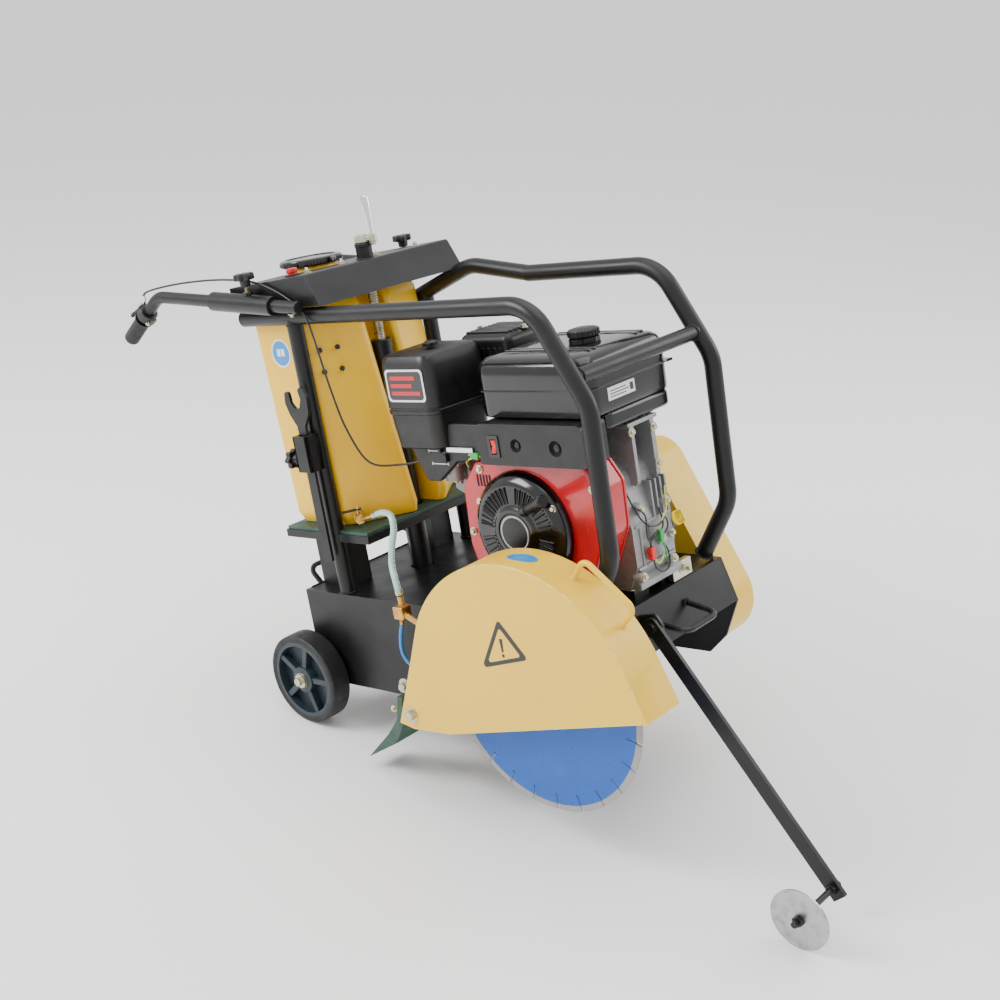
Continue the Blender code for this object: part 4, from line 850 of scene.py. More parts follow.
# ---- console, lift and tank ----
def console():
    """Folded cover with welded end plates, its screws, the lift bush and the red stop button."""
    t = 0.003
    outer = fillet([(-0.045, 0.846), (0.196, 0.862), (0.229, 0.800)], (0, 0.008, 0), 6)
    inner = fillet([(0.229 - 0.0034, 0.7990), (0.1942, 0.8589), (-0.045, 0.8430)], (0, 0.005, 0), 6)
    prism("console_top", outer + inner, -0.206, 0.206, "black_paint", "chassis", replaces=["console"])
    end = fillet([(-0.045, 0.8450), (0.1950, 0.8608), (0.2280, 0.8000), (0.118, 0.8000), (0.085, 0.8120),
                  (-0.045, 0.8290)],
                 (0.004, 0.008, 0.003, 0.006, 0.006, 0.004), 4)
    prism("console_end_right", end, -0.2058, -0.2058 + t, "black_paint", "chassis")
    notched = fillet([(-0.045, 0.8450), (0.1950, 0.8608), (0.2170, 0.8180), (0.140, 0.8200), (0.060, 0.8190),
                      (-0.045, 0.8290)], (0.004, 0.008, 0.003, 0.006, 0.006, 0.004), 4)
    prism("console_end_left", notched, 0.2058 - t, 0.2058, "black_paint", "chassis")
    top = Vector((0.241, 0, 0.016)).normalized()
    up = Vector((-top.z, 0, top.x))

    def on_top(u, v, lift=0.0):
        return Vector((-0.045, v, 0.846)) + top * (u + 0.045) + up * lift

    bolts("console_bolts", "chassis",
          [(on_top(0.133, -0.045, 0.0002), up, 0.010), (on_top(0.133, 0.055, 0.0002), up, 0.010),
                                       (on_top(0.150, -0.155, 0.0002), up, 0.010),
           (on_top(0.150, 0.155, 0.0002), up, 0.010)],
          stud=0.003)
    at = frame_at((LIFT_U, 0, 0.858), W)
    bush = [(0.0122, 0.0), (0.0172, 0.0), (0.0172, 0.0255), (0.0182, 0.0270), (0.0182, 0.0330),
            (0.0170, 0.0345), (0.0122, 0.0348), (0.0122, 0.0)]
    turned("lift_bush", bush, at, "black_paint", "chassis", 40)
    welds("console_welds", "chassis", [((LIFT_U, 0, 0.8600), W, 0.0182)])
    button = frame_at((0.107, -0.158, 0.8560), up)
    turned("stop_collar", [(0.0125, 0), (0.0165, 0), (0.0165, 0.0026), (0.0150, 0.0038), (0.0125, 0.0038),
                           (0.0125, 0)],
           button, "black_plastic", "chassis", 32)
    turned("stop_button", [(0, 0.0), (0.0095, 0.0), (0.0095, 0.0060), (0.0115, 0.0070), (0.0120, 0.0090),
                           (0.0118, 0.0140),
                           (0.0095, 0.0158), (0, 0.0164)], button, "red_plastic", "stop_switch", 36,
           replaces=["stop_switch"])


def lift():
    """Threaded screw in its sleeve, crank with a hub and clevis, and the tapered chrome handle."""
    screw = [(0, 0.330), (0.0112, 0.330)]
    z = 0.640
    while z < 0.845:
        screw += [(0.0115, z), (0.0098, z + 0.0018), (0.0098, z + 0.0024), (0.0115, z + 0.0042)]
        z += 0.0050
    screw += [(0.0115, 0.850), (0.0115, BUSH_TOP + 0.015), (0.0100, BUSH_TOP + 0.0165),
              (0, BUSH_TOP + 0.0165)]
    turned("lift_screw", screw, frame_at((LIFT_U, 0, 0), W), "zinc", "lift_crank", 28,
           replaces=["lift_crank"])
    hub = [(0.0117, 0.0004), (0.0160, 0.0004), (0.0170, 0.0014), (0.0170, 0.0122), (0.0160, 0.0130),
           (0.0117, 0.0130), (0.0117, 0.0004)]
    turned("crank_collar", hub, frame_at((LIFT_U, 0, BUSH_TOP), W), "zinc", "lift_crank", 40)
    middle = Vector((LIFT_U, 0, BUSH_TOP + 0.0070))
    tip = middle + Vector((0.026, 0.006, 0.0))
    along = (tip - middle).normalized()
    at = Matrix.Translation(middle) @ Matrix.Rotation(math.atan2(along.y, along.x), 4, "Z")
    block("crank_link", (0.010, -0.0070, -0.0040), (0.0265, 0.0070, 0.0045), "zinc", "lift_crank", 0.0012,
          at=at)
    eye = [(0, -0.0070), (0.0078, -0.0070), (0.0085, -0.0062), (0.0085, 0.0072), (0.0078, 0.0080),
           (0, 0.0080)]
    turned("crank_eye", eye, frame_at(tip, W), "zinc", "lift_crank", 32)
    bolts("crank_pin", "lift_crank", [(tip - W * 0.0070, -W, 0.010)])
    grip_axis = Vector((-0.004, 0, 0.0776))
    handle = [(0, 0.0), (0.0052, 0.0), (0.0060, 0.0010), (0.0062, 0.012), (0.0078, 0.034), (0.0090, 0.058),
              (0.0092, 0.070), (0.0086, 0.0750), (0.0060, 0.0776), (0, 0.0778)]
    turned("crank_handle", handle, frame_at(tip + W * 0.0084, grip_axis), "chrome", "crank_grip", 40,
           replaces=["crank_grip"])
    sleeve = [(0.0140, 0.300), (0.0140, 0.690), (0.0206, 0.690), (0.0220, 0.6880), (0.0220, 0.0600),
              (0.0206, 0.0580), (0, 0.0580)]
    turned("lift_tube", sleeve[::-1] + [(0, 0.300)], frame_at((LIFT_U, 0, 0), W), "black_paint",
           "lift_sleeve", 36, replaces=["lift_sleeve"])


def water_tank():
    """Blow-moulded tank with two front lobes, a parting line, filler neck and lid, on its rubber mat."""
    outline = fillet(mirrored([(-0.022, TANK_HALF), (0.138, TANK_HALF), (0.240, 0.034), (0.126, 0.034)]),
                     (0.016, 0.030, 0.014, 0.008, 0.008, 0.014, 0.030, 0.016), 7)
    height = TANK_TOP - TANK_FLOOR
    levels = 22
    middle = Vector((0.06, 0.0))

    def build(bm):
        rings = []
        for i in range(levels + 1):
            rise = i / levels
            w = TANK_FLOOR + rise * height
            edge = min(rise, 1 - rise) * height
            inset = 0.012 * max(0.0, 1 - edge / 0.012) ** 2
            band = 0.0012 * math.exp(-((w - 0.560) / 0.004) ** 2)
            ring = []
            for u, v in outline:
                p = Vector((u, v))
                forward = max(0.0, u - 0.126)
                p.x -= rise * (0.020 + forward * 0.55)
                out = (p - middle).normalized()
                p += out * (band - inset)
                ring.append(bm.verts.new((p.x, p.y, w)))
            rings.append(ring)
        count = len(outline)
        for a, b in zip(rings, rings[1:]):
            for k in range(count):
                n = (k + 1) % count
                bm.faces.new((a[k], a[n], b[n], b[k]))
        bm.faces.new(rings[0][::-1])
        bm.faces.new(rings[-1])

    finish_piece("tank_shell", mesh_of(build), "yellow_plastic", "chassis", replaces=["water_tank"],
                 angle=50)
    neck = [(0, 0.790), (0.0560, 0.790), (0.0560, 0.8560), (0.0540, 0.8596), (0, 0.8596)]
    turned("tank_neck", neck, frame_at((0.020, -0.030, 0), W), "yellow_plastic", "chassis", 64)
    lid = [(0, 0.0006), (0.0575, 0.0006), (0.0650, 0.0024), (0.0668, 0.0040), (0.0668, 0.0118),
           (0.0655, 0.0150),
           (0.0620, 0.0166), (0.0560, 0.0170), (0.0540, 0.0150), (0.0500, 0.0145), (0, 0.0152)]
    turned("lid_cap", lid, frame_at((0.020, -0.030, 0.860), W), "gloss_black", "tank_cap", 96,
           replaces=["tank_cap"], slot="black_plastic")

    def ribs(bm):
        for k in range(60):
            at = frame_at((0.020, -0.030, 0.860), W, 2 * math.pi * k / 60)
            add_box(bm, (0.0660, -0.0012, 0.0050), (0.0676, 0.0012, 0.0112), at)

    finish_piece("lid_ribs", mesh_of(ribs), "gloss_black", "tank_cap", slot="black_plastic")
    sticker = frame_at((0.036, -TANK_HALF - 0.0004, 0.700), -V)
    turned("tank_disc_white", [(0, 0), (0.030, 0), (0.030, 0.0003), (0, 0.0003)], sticker, "white_film",
           "chassis", 48)
    turned("tank_disc_blue", [(0, 0.0003), (0.0262, 0.0003), (0.0262, 0.0005), (0, 0.0005)], sticker,
           "blue_film", "chassis", 48)

    def pages(bm):
        for x in (-0.0115, 0.0015):
            add_box(bm, (x, -0.006, 0.0005), (x + 0.0100, 0.009, 0.0007), sticker)

    finish_piece("tank_disc_mark", mesh_of(pages), "white_film", "chassis")


def hose():
    """Braided hose from the valve to the guard's manifold, with end clips, and the blue spray tube."""
    route = [(0.2352, -0.1800, 0.3618), (0.268, -0.183, 0.371), (0.297, -0.189, 0.368),
             (0.311, -0.200, 0.345), (0.313, -0.215, 0.313), (0.320, -0.230, 0.280), (0.337, -0.243, 0.250),
             (0.3442, -0.246, 0.2238)]
    line = smooth(route, 8)
    piece = tube("braided_hose", line, 0.0068, "hose", None, 28, replaces=["water_hose"])
    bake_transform(piece)
    clip = [(0.0070, -0.004), (0.0080, -0.004), (0.0080, 0.004), (0.0070, 0.004), (0.0070, -0.004)]
    first = Vector(line[3]) - Vector(line[1])
    turned("hose_clip_valve", clip, frame_at(line[2], first), "zinc", "chassis", 32)
    last = Vector(line[-1]) - Vector(line[-4])
    turned("hose_clip_guard", clip, frame_at(line[-3], last), "zinc", "blade_guard", 32)
    spray = [(0.3335, -0.246, 0.1610), (0.322, -0.246, 0.128), (0.318, -0.244, 0.095),
             (0.334, -0.240, 0.070), (0.362, -0.238, 0.072)]
    tube("spray_line", smooth(spray, 8), 0.0042, "tube_blue", "blade_guard", 20, slot="hose")


# ---- base frame ----
def base_details():
    """Bolts, tensioner, weld beads and the guide arm's pivot hardware on the CAD base frame."""
    deck = 0.1882
    heads = [((u, v, 0.2080), W, 0.013) for u in (0.486, 0.770) for v in (-0.048, 0.071)]
    bolts("mount_bolts", "chassis", heads, stud=0.003)
    block("tensioner_plate", (0.782, 0.050, deck), (0.7960, 0.112, 0.2220), "zinc", "chassis", 0.0015)
    bolts("tensioner_bolt", "chassis", [((0.7962, 0.081, 0.2090), U, 0.013)], stud=0.010)
    bolts("deck_bolts", "chassis", [((0.430, v, deck), W, 0.012) for v in (-0.150, -0.060, 0.150)])
    bolts("side_bolts", "chassis", [((SHAFT[0] + x, -0.2060, SHAFT[1] + z), -V, 0.0125)
                                    for x, z in ((-0.045, -0.008), (0.045, -0.008), (0.0, 0.030))])
    bolts("pivot_caps", "chassis", [((0.262, side * 0.2062, 0.0), V * side, 0.019) for side in (-1, 1)])
    welds("tie_welds", "chassis", [((0.0005, -0.150, 0.1665), (-0.7, 0, 0.7), 0.0070),
                                   ((0.0005, 0.150, 0.1665), (-0.7, 0, 0.7), 0.0070),
                                   ((0.8150, -0.050, 0.1490), (1, 0, -0.2), 0.0070),
                                   ((0.8150, 0.055, 0.1490), (1, 0, -0.2), 0.0070)])
    rear_seam = [(0.0030, v / 100, deck) for v in range(-19, 20)]
    tube("deck_seam", rear_seam, 0.0022, "black_paint", "chassis", 10)


# ---- cutting drive ----
def saw_blade():
    """Steel core with keyhole slots and diamond segments between them."""
    half = BLADE_T / 2
    core_r = BLADE_R - RIM
    core = []
    for k in range(SLOTS):
        start = 2 * math.pi * k / SLOTS
        gap = 0.0015 / core_r
        depth = 0.016
        for a, r in ((start - gap, core_r), (start - gap * 1.1, core_r - depth)):
            core.append((SHAFT[0] + r * math.cos(a), SHAFT[1] + r * math.sin(a)))
        eye = core_r - depth - 0.0032
        for j in range(7):
            a = start + math.radians(210 + 300 * j / 6 - 30)
            x = SHAFT[0] + eye * math.cos(start) + 0.0036 * math.cos(a)
            core.append((x, SHAFT[1] + eye * math.sin(start) + 0.0036 * math.sin(a)))
        for a, r in ((start + gap * 1.1, core_r - depth), (start + gap, core_r)):
            core.append((SHAFT[0] + r * math.cos(a), SHAFT[1] + r * math.sin(a)))
        end = 2 * math.pi * (k + 1) / SLOTS - gap
        for j in range(1, 6):
            a = start + gap + (end - start - gap) * j / 6
            core.append((SHAFT[0] + core_r * math.cos(a), SHAFT[1] + core_r * math.sin(a)))
    prism("blade_core", core, BLADE_V - half, BLADE_V + half, "blade_steel", "arbor",
          [circle(SHAFT, 0.0128, 32)], replaces=["saw_blade"])

    def segments(bm):
        for k in range(SLOTS):
            a0 = 2 * math.pi * (k + 0.055) / SLOTS
            a1 = 2 * math.pi * (k + 0.945) / SLOTS
            ring = [(SHAFT[0] + r * math.cos(a), SHAFT[1] + r * math.sin(a))
                    for r, angles in ((core_r - 0.0006, [a0 + (a1 - a0) * j / 6 for j in range(7)]),
                                      (BLADE_R, [a1 + (a0 - a1) * j / 6 for j in range(7)])) for a in angles]
            verts = [[bm.verts.new((x, BLADE_V + side * (half + 0.0004), y)) for x, y in ring]
                     for side in (-1, 1)]
            bm.faces.new(verts[0])
            bm.faces.new(verts[1][::-1])
            for j in range(len(ring)):
                n = (j + 1) % len(ring)
                bm.faces.new((verts[0][j], verts[0][n], verts[1][n], verts[1][j]))

    finish_piece("blade_segments", mesh_of(segments), "segment", "arbor", slot="blade_steel")
    r = 0.050
    profile = [(0.0128, 0), (r, 0), (r, 0.006), (r - 0.006, 0.0098), (0.020, 0.0100), (0.0128, 0.0100),
               (0.0128, 0)]
    turned("flange_outer", profile, frame_at((SHAFT[0], BLADE_V - half - 0.0003, SHAFT[1]), -V), "steel",
           "arbor", 64, replaces=["outer_flange"])
    bolts("arbor_nut", "arbor", [((SHAFT[0], BLADE_V - half - 0.0103, SHAFT[1]), -V, 0.030)])
    turned("arbor_end", [(0, 0), (0.0115, 0), (0.0115, 0.002), (0.0100, 0.0035), (0, 0.0035)],
           frame_at((SHAFT[0], BLADE_V - 0.0265, SHAFT[1]), -V), "steel", "arbor", 32)


def belt_cover():
    """Pressed two-circle cover with a rolled edge, a raised face and its screws."""
    v0, v1 = BELT_COVER_V
    outer = two_circle_outline(SHAFT, BELT_COVER_LOW_R, CRANK, BELT_COVER_TOP_R, 30)
    mid = two_circle_outline(SHAFT, BELT_COVER_LOW_R - 0.0025, CRANK, BELT_COVER_TOP_R - 0.0025, 30)
    inset = two_circle_outline(SHAFT, BELT_COVER_LOW_R - 0.018, CRANK, BELT_COVER_TOP_R - 0.018, 30)
    raised = two_circle_outline(SHAFT, BELT_COVER_LOW_R - 0.021, CRANK, BELT_COVER_TOP_R - 0.021, 30)

    def build(bm):
        rings = [[bm.verts.new((x, v, y)) for x, y in line] for line, v in (
            (mid, v0 + 0.001), (outer, v0), (outer, v1 - 0.005), (mid, v1 - 0.0016), (inset, v1 - 0.0016),
                                                                            (raised, v1))]
        count = len(rings[0])
        for a, b in zip(rings, rings[1:]):
            for k in range(count):
                n = (k + 1) % count
                bm.faces.new((a[k], a[n], b[n], b[k]))
        bm.faces.new(rings[-1])
        bm.faces.new(rings[0][::-1])

    finish_piece("belt_guard", mesh_of(build), "yellow_paint", "chassis", replaces=["belt_cover"])
    spots = [(SHAFT[0] - 0.060, SHAFT[1] - 0.052), (SHAFT[0] + 0.078, SHAFT[1] + 0.010),
             (CRANK[0], CRANK[1] + 0.048), (CRANK[0] - 0.046, CRANK[1] - 0.020)]
    bolts("belt_guard_bolts", "chassis", [((x, v1 - 0.0014, z), V, 0.010) for x, z in spots])


# ---- blade guard ----
def guard_outline(inset=0.0):
    back = arc(GUARD_C, GUARD_R - inset, 18, 150, 66)
    return [(0.982 - inset, 0.082), *back, (0.353 + inset, -0.019), (0.392, -0.026), (0.492, -0.021)]


def blade_guard():
    """Pressed guard: two side sheets, a rolled rim, the shaft slot, a rod handle and its printed symbols."""
    v0, v1 = GUARD_FRONT_V, GUARD_BACK_V
    sheet = 0.003
    outline = guard_outline(0.0015)
    prism("guard_front", outline, v0, v0 + sheet, "yellow_paint", "blade_guard", replaces=["blade_guard"])
    slot_u, slot_w = SHAFT
    left, right = slot_u - 0.056, slot_u + 0.062
    top = slot_w + 0.060
    arch = fillet([(left, -0.2), (left, top), (right, top), (right, -0.2)], (0, 0.055, 0.055, 0), 10)[1:-1]

    def low_edge(u):
        return -0.021 + (u - 0.492) * (0.103 / 0.490)

    notch = [(left, low_edge(left)), *arch, (right, low_edge(right))]
    rear_side = [(0.9805, 0.082), *arc(GUARD_C, GUARD_R - 0.0015, 18, 150, 66), (0.3545, -0.019),
                 (0.392, -0.026), (0.492, -0.021), *notch]
    prism("guard_back", rear_side, v1 - sheet, v1, "yellow_paint", "blade_guard")

    def rim(bm):
        line = [(0.982, 0.082), *arc(GUARD_C, GUARD_R, 18, 150, 90), (0.353, -0.019)]
        inner = [(0.979, 0.084), *arc(GUARD_C, GUARD_R - sheet, 18, 150, 90), (0.356, -0.017)]
        soft = [(0.981, 0.083), *arc(GUARD_C, GUARD_R - 0.0012, 18, 150, 90), (0.354, -0.018)]
        rows = [(inner, v0 + 0.0012), (soft, v0), (line, v0 + 0.0012), (line, v1 - 0.0012), (soft, v1),
                (inner, v1 - 0.0012)]
        rings = [[bm.verts.new((x, v, y)) for x, y in pts] for pts, v in rows]
        for a, b in zip(rings, rings[1:] + rings[:1]):
            for k in range(len(a) - 1):
                bm.faces.new((a[k], a[k + 1], b[k + 1], b[k]))
        bm.faces.new([r[0] for r in rings])
        bm.faces.new([r[-1] for r in rings][::-1])

    finish_piece("guard_rim", mesh_of(rim), "yellow_paint", "blade_guard", angle=40)

    def on_guard(angle, lift, v=-0.262):
        a = math.radians(angle)
        r = GUARD_R + lift
        return (GUARD_C[0] + r * math.cos(a), v, GUARD_C[1] + r * math.sin(a))

    handle = fillet([on_guard(62, -0.0005), on_guard(61, 0.047), on_guard(38, 0.047), on_guard(37, -0.0005)],
                    0.016, 8, closed=False)
    tube("guard_rod", handle, 0.0055, "yellow_paint", "blade_guard", 20)
    feet = [(on_guard(a, 0.0008), Vector(on_guard(a, 1.0)) - Vector(on_guard(a, 0.0)), 0.0062)
            for a in (62, 37)]
    welds("guard_welds", "blade_guard", feet).data.materials[0] = M["yellow_paint"]
    bolts("guard_hinge_bolt", "blade_guard", [((GUARD_PIVOT[0], v0, GUARD_PIVOT[1]), -V, 0.019)])
    bolts("guard_screws", "blade_guard", [((0.344, v0 - 0.0002, 0.010), -V, 0.008)])
    marks = v0 - 0.0003
    apex = [(0.672, 0.237), (0.611, 0.134), (0.731, 0.166)]
    centre = (sum(x for x, z in apex) / 3, sum(z for x, z in apex) / 3)
    inner = [(centre[0] + (x - centre[0]) * 0.72, centre[1] + (z - centre[1]) * 0.72) for x, z in apex]
    prism("warning_triangle", fillet(apex, 0.006, 4), marks, v0 - 0.00005, "black_film", "blade_guard",
          [fillet(inner, 0.004, 3)])
    hand = [(centre[0] - 0.004, centre[1] + 0.020), (centre[0] + 0.004, centre[1] + 0.020),
            (centre[0] + 0.0025, centre[1] - 0.006), (centre[0] - 0.0025, centre[1] - 0.006)]
    prism("warning_bar", hand, marks, v0 - 0.00005, "black_film", "blade_guard")
    prism("warning_dot", circle((centre[0], centre[1] - 0.013), 0.0035, 24), marks, v0 - 0.00005,
          "black_film", "blade_guard")

    def oval(bm):
        rows = []
        for i in range(25):
            t = -1 + 2 * i / 24
            half = 0.0165 * math.sqrt(max(0.0, 1 - t * t)) + 0.00001
            rows.append([bm.verts.new(on_guard(86 + 7.2 * t, 0.0005, -0.268 + half * side))
                         for side in (-1, 0, 1)])
        for a, b in zip(rows, rows[1:]):
            for k in range(2):
                bm.faces.new((a[k], a[k + 1], b[k + 1], b[k]))

    finish_piece("rim_oval", mesh_of(oval), "blue_film", "blade_guard")


def guard_fittings():
    """Brass tee with hexagon collars."""
    block("tee_body", (0.3305, -0.2615, 0.1765), (0.3575, -0.2345, 0.2035), "brass", "blade_guard", 0.003,
          replaces=["water_manifold"])
    for name, a, b, r in (("tee_top", (0.344, -0.246, 0.200), (0.344, -0.246, 0.222), 0.0065),
                          ("tee_bottom", (0.338, -0.246, 0.180), (0.334, -0.246, 0.162), 0.0050),
                          ("tee_side", (0.352, -0.250, 0.1855), (0.4292, -0.250, 0.1536), 0.0060)):
        a, b = Vector(a), Vector(b)
        length = (b - a).length
        profile = [(0, 0), (r * 1.25, 0), (r * 1.25, 0.005), (r * 0.9, 0.006)]
        z = 0.0065
        while z < length - 0.003:
            profile += [(r, z), (r * 0.84, z + 0.0024)]
            z += 0.0030
        turned(name, profile + [(r * 0.8, length), (0, length)], frame_at(a, b - a), "brass", "blade_guard",
               28)


# ---- engine ----
def engine():
    """Fan housing with its starter cover, tank, air cleaner, panel, muffler and wiring."""
    shell = fillet([(0.470, 0.228), (0.530, 0.2095), (0.690, 0.2095), (0.755, 0.255), (0.797, 0.340),
                    (0.800, 0.430), (0.770, 0.475), (0.500, 0.475), (0.455, 0.420), (0.450, 0.300)],
                   (0.03, 0.03, 0.04, 0.05, 0.05, 0.03, 0.02, 0.02, 0.04, 0.05), 12)
    housing = prism("fan_housing", shell, -0.1330, -0.0590, "red_paint", "chassis",
                    replaces=["blower_housing"])
    rounded(housing, 0.009, 5, 60)
    lip = [(CRANK[0] + (x - CRANK[0]) * 1.012, CRANK[1] + (z - CRANK[1]) * 1.012) for x, z in shell]
    rounded(prism("fan_flange", lip, -0.0655, -0.0592, "red_paint", "chassis"), 0.0012, 2, 60)
    spots = [(0.497, 0.236), (0.740, 0.262), (0.784, 0.430), (0.512, 0.458), (0.468, 0.330)]
    bolts("fan_bolts", "chassis", [((x, -0.1335, z), -V, 0.009) for x, z in spots])

    # Vent slots drawn as thin near-black sheets on the housing face: painted shade standing in for the
    # openings.
    def vents(bm):
        for i in range(5):
            add_box(bm, (0.500 + i * 0.008, -0.1338, 0.424), (0.504 + i * 0.008, -0.1330, 0.447))

    finish_piece("fan_vents", mesh_of(vents), "painted_shade", "chassis", slot="black_plastic")
    starter()

    panel = fillet([(0.545, 0.4760), (0.800, 0.4760), (0.800, 0.5555), (0.545, 0.5555)],
                   (0.006, 0.006, 0.012, 0.012), 8)
    wells = [circle((0.640, 0.515), 0.0130, 40), circle((0.735, 0.512), 0.0150, 40)]
    window = [(0.5785, 0.4975), (0.5915, 0.4975), (0.5915, 0.5265), (0.5785, 0.5265)]
    front = prism("panel_front", panel, -0.1600, -0.1500, "black_plastic", "chassis", [*wells, window],
                  replaces=["control_panel"])
    rounded(front, 0.0015, 2, 50)
    prism("panel_body", [(x, z) for x, z in panel], -0.1502, -0.0900, "black_plastic", "chassis")
    bezel_out = fillet([(0.5715, 0.4905), (0.5985, 0.4905), (0.5985, 0.5335), (0.5715, 0.5335)], 0.003, 4)
    rounded(prism("switch_bezel", bezel_out, -0.1622, -0.1590, "gloss_black", "chassis", [window]), 0.0008,
            2, 50)
    # Each well is floored with a near-black cone: painted shade in the recess round its plug.
    for i, (u, w, r) in enumerate(((0.640, 0.515, 0.0130), (0.735, 0.512, 0.0150))):
        turned("panel_well_%d" % i, [(r - 0.0004, 0.0), (r - 0.0030, -0.0060), (0, -0.0062)],
               frame_at((u, -0.1592, w), -V), "painted_shade", "chassis", 36, slot="black_plastic")
        turned("panel_plug_%d" % i,
               [(0, -0.0060), (r * 0.45, -0.0060), (r * 0.45, -0.0025), (r * 0.30, -0.0015),
                                     (0, -0.0015)], frame_at((u, -0.1592, w), -V), "black_plastic",
               "chassis", 28)
    rocker = [(-0.1450, -0.0128), (-0.1612, -0.0128), (-0.1640, -0.0118), (-0.1600, 0.0000),
              (-0.1622, 0.0118), (-0.1608, 0.0128), (-0.1450, 0.0128)]
    data = mesh_of(lambda bm: extrude_loops(bm, [rocker], lambda x, y,
                                            s: (0.5904 if s else 0.5796, x, 0.512 + y)))
    rounded(finish_piece("rocker", data, "red_plastic", "engine_switch", replaces=["engine_switch"]), 0.0008,
            2, 50)
    wires()
    fuel_tank()
    air_cleaner()
    lever_and_muffler()
    crankcase()


def front_casting():
    """What the casting shows at the front: a tank bracket, bosses with bolts, ribs, a coil and its leads."""
    bracket = [(0.700, 0.470), (0.792, 0.400), (0.800, 0.410), (0.800, 0.524), (0.735, 0.524)]
    rounded(prism("tank_bracket", fillet(bracket, 0.006, 4), 0.040, 0.052, "cast_aluminium", "chassis"),
            0.0015, 2)
    rounded(prism("tank_bracket_web", fillet(bracket, 0.006, 4), -0.020, -0.011, "cast_aluminium",
                  "chassis"),
            0.0015, 2)
    block("bracket_plate", (0.7350, -0.030, 0.5160), (0.8030, 0.060, 0.5240), "cast_aluminium", "chassis",
          0.002)
    bolts("bracket_bolts", "chassis",
          [((0.8032, -0.024, 0.5080), U, 0.010), ((0.8005, 0.046, 0.4300), U, 0.010),
                                       ((0.8005, 0.046, 0.5000), U, 0.010)])

    def ribs(bm):
        for i in range(4):
            v = 0.010 + i * 0.0150
            add_box(bm, (0.7700, v, 0.3300), (0.8030, v + 0.0045, 0.4050))
        add_box(bm, (0.7900, -0.050, 0.3280), (0.8030, 0.060, 0.3340))
        add_box(bm, (0.7900, -0.055, 0.2480), (0.8025, 0.060, 0.2540))
        for v in (-0.040, -0.010):
            add_box(bm, (0.7900, v, 0.2500), (0.8030, v + 0.005, 0.3300))

    rounded(finish_piece("case_ribs", mesh_of(ribs), "cast_aluminium", "chassis"), 0.0014, 2)
    bosses = [(0.050, 0.355, 0.011), (0.050, 0.240, 0.010), (-0.030, 0.362, 0.010), (0.020, 0.290, 0.012),
              (0.054, 0.290, 0.009), (-0.048, 0.235, 0.010)]
    for i, (v, w, r) in enumerate(bosses):
        turned("case_boss_%d" % i,
               [(0, -0.012), (r + 0.003, -0.012), (r, 0.003), (r - 0.001, 0.0045), (0, 0.0045)],
               frame_at((0.8000, v, w), U), "cast_aluminium", "chassis", 28)
    bolts("case_bolts", "chassis", [((0.8046, v, w), U, r * 0.9) for v, w, r in bosses])
    flange = [(0.512, 0.214), (0.766, 0.214), (0.7905, 0.258), (0.7905, 0.334), (0.765, 0.418),
              (0.704, 0.470), (0.585, 0.470), (0.512, 0.404)]
    rounded(prism("cover_flange", fillet(flange, 0.03, 8), 0.0600, 0.0660, "cast_aluminium", "chassis"),
            0.0012, 2)
    stripe = fillet([(0.560, 0.250), (0.735, 0.250), (0.752, 0.300), (0.735, 0.385), (0.690, 0.430),
                     (0.600, 0.430), (0.560, 0.380)], 0.03, 8)
    rounded(prism("cover_face", stripe, 0.0870, 0.0925, "cast_aluminium", "chassis"), 0.0025, 3)
    rounded(prism("case_foot", fillet([(0.755, 0.2085), (0.800, 0.2085), (0.800, 0.2200), (0.780, 0.2350),
                                       (0.755, 0.2350)], 0.003, 3), -0.055, 0.078, "cast_aluminium",
                  "chassis"), 0.002)
    block("coil_plug", (0.8040, -0.030, 0.2620), (0.8160, -0.017, 0.2860), "red_plastic", "chassis", 0.002)
    block("lead_joint", (0.8080, 0.000, 0.2880), (0.8190, 0.010, 0.3120), "green_wire", "chassis", 0.0015,
          slot="black_plastic")
    runs = [("black_wire", [(0.792, -0.057, 0.412), (0.806, -0.046, 0.360), (0.812, -0.026, 0.330),
                            (0.815, 0.004, 0.322), (0.814, 0.026, 0.330), (0.812, 0.034, 0.312),
                            (0.815, 0.016, 0.302), (0.814, -0.006, 0.310), (0.812, -0.022, 0.300),
                            (0.811, -0.024, 0.286)]),
            ("black_wire", [(0.811, -0.022, 0.264), (0.811, -0.016, 0.242), (0.809, 0.008, 0.228),
                            (0.810, 0.026, 0.236), (0.812, 0.024, 0.266), (0.813, 0.008, 0.288)]),
            ("yellow_wire", [(0.813, 0.005, 0.312), (0.814, 0.018, 0.330), (0.812, 0.036, 0.344),
                             (0.808, 0.044, 0.372), (0.805, 0.050, 0.384)]),
            ("yellow_wire", [(0.811, -0.020, 0.264), (0.812, -0.008, 0.250), (0.811, 0.006, 0.256),
                             (0.806, 0.018, 0.262)]),
            ("green_wire", [(0.813, 0.007, 0.290), (0.814, 0.014, 0.274), (0.812, 0.018, 0.256),
                            (0.806, 0.020, 0.246)]),
            ("black_wire", [(0.806, -0.050, 0.372), (0.812, -0.030, 0.350), (0.814, -0.034, 0.318),
                            (0.812, -0.026, 0.300), (0.815, -0.002, 0.306), (0.812, 0.020, 0.318),
                            (0.806, 0.022, 0.350)])]
    for i, (mat, line) in enumerate(runs):
        tube("case_lead_%d" % i, smooth(line, 8), 0.0016, mat, "chassis", 10, slot="black_plastic")


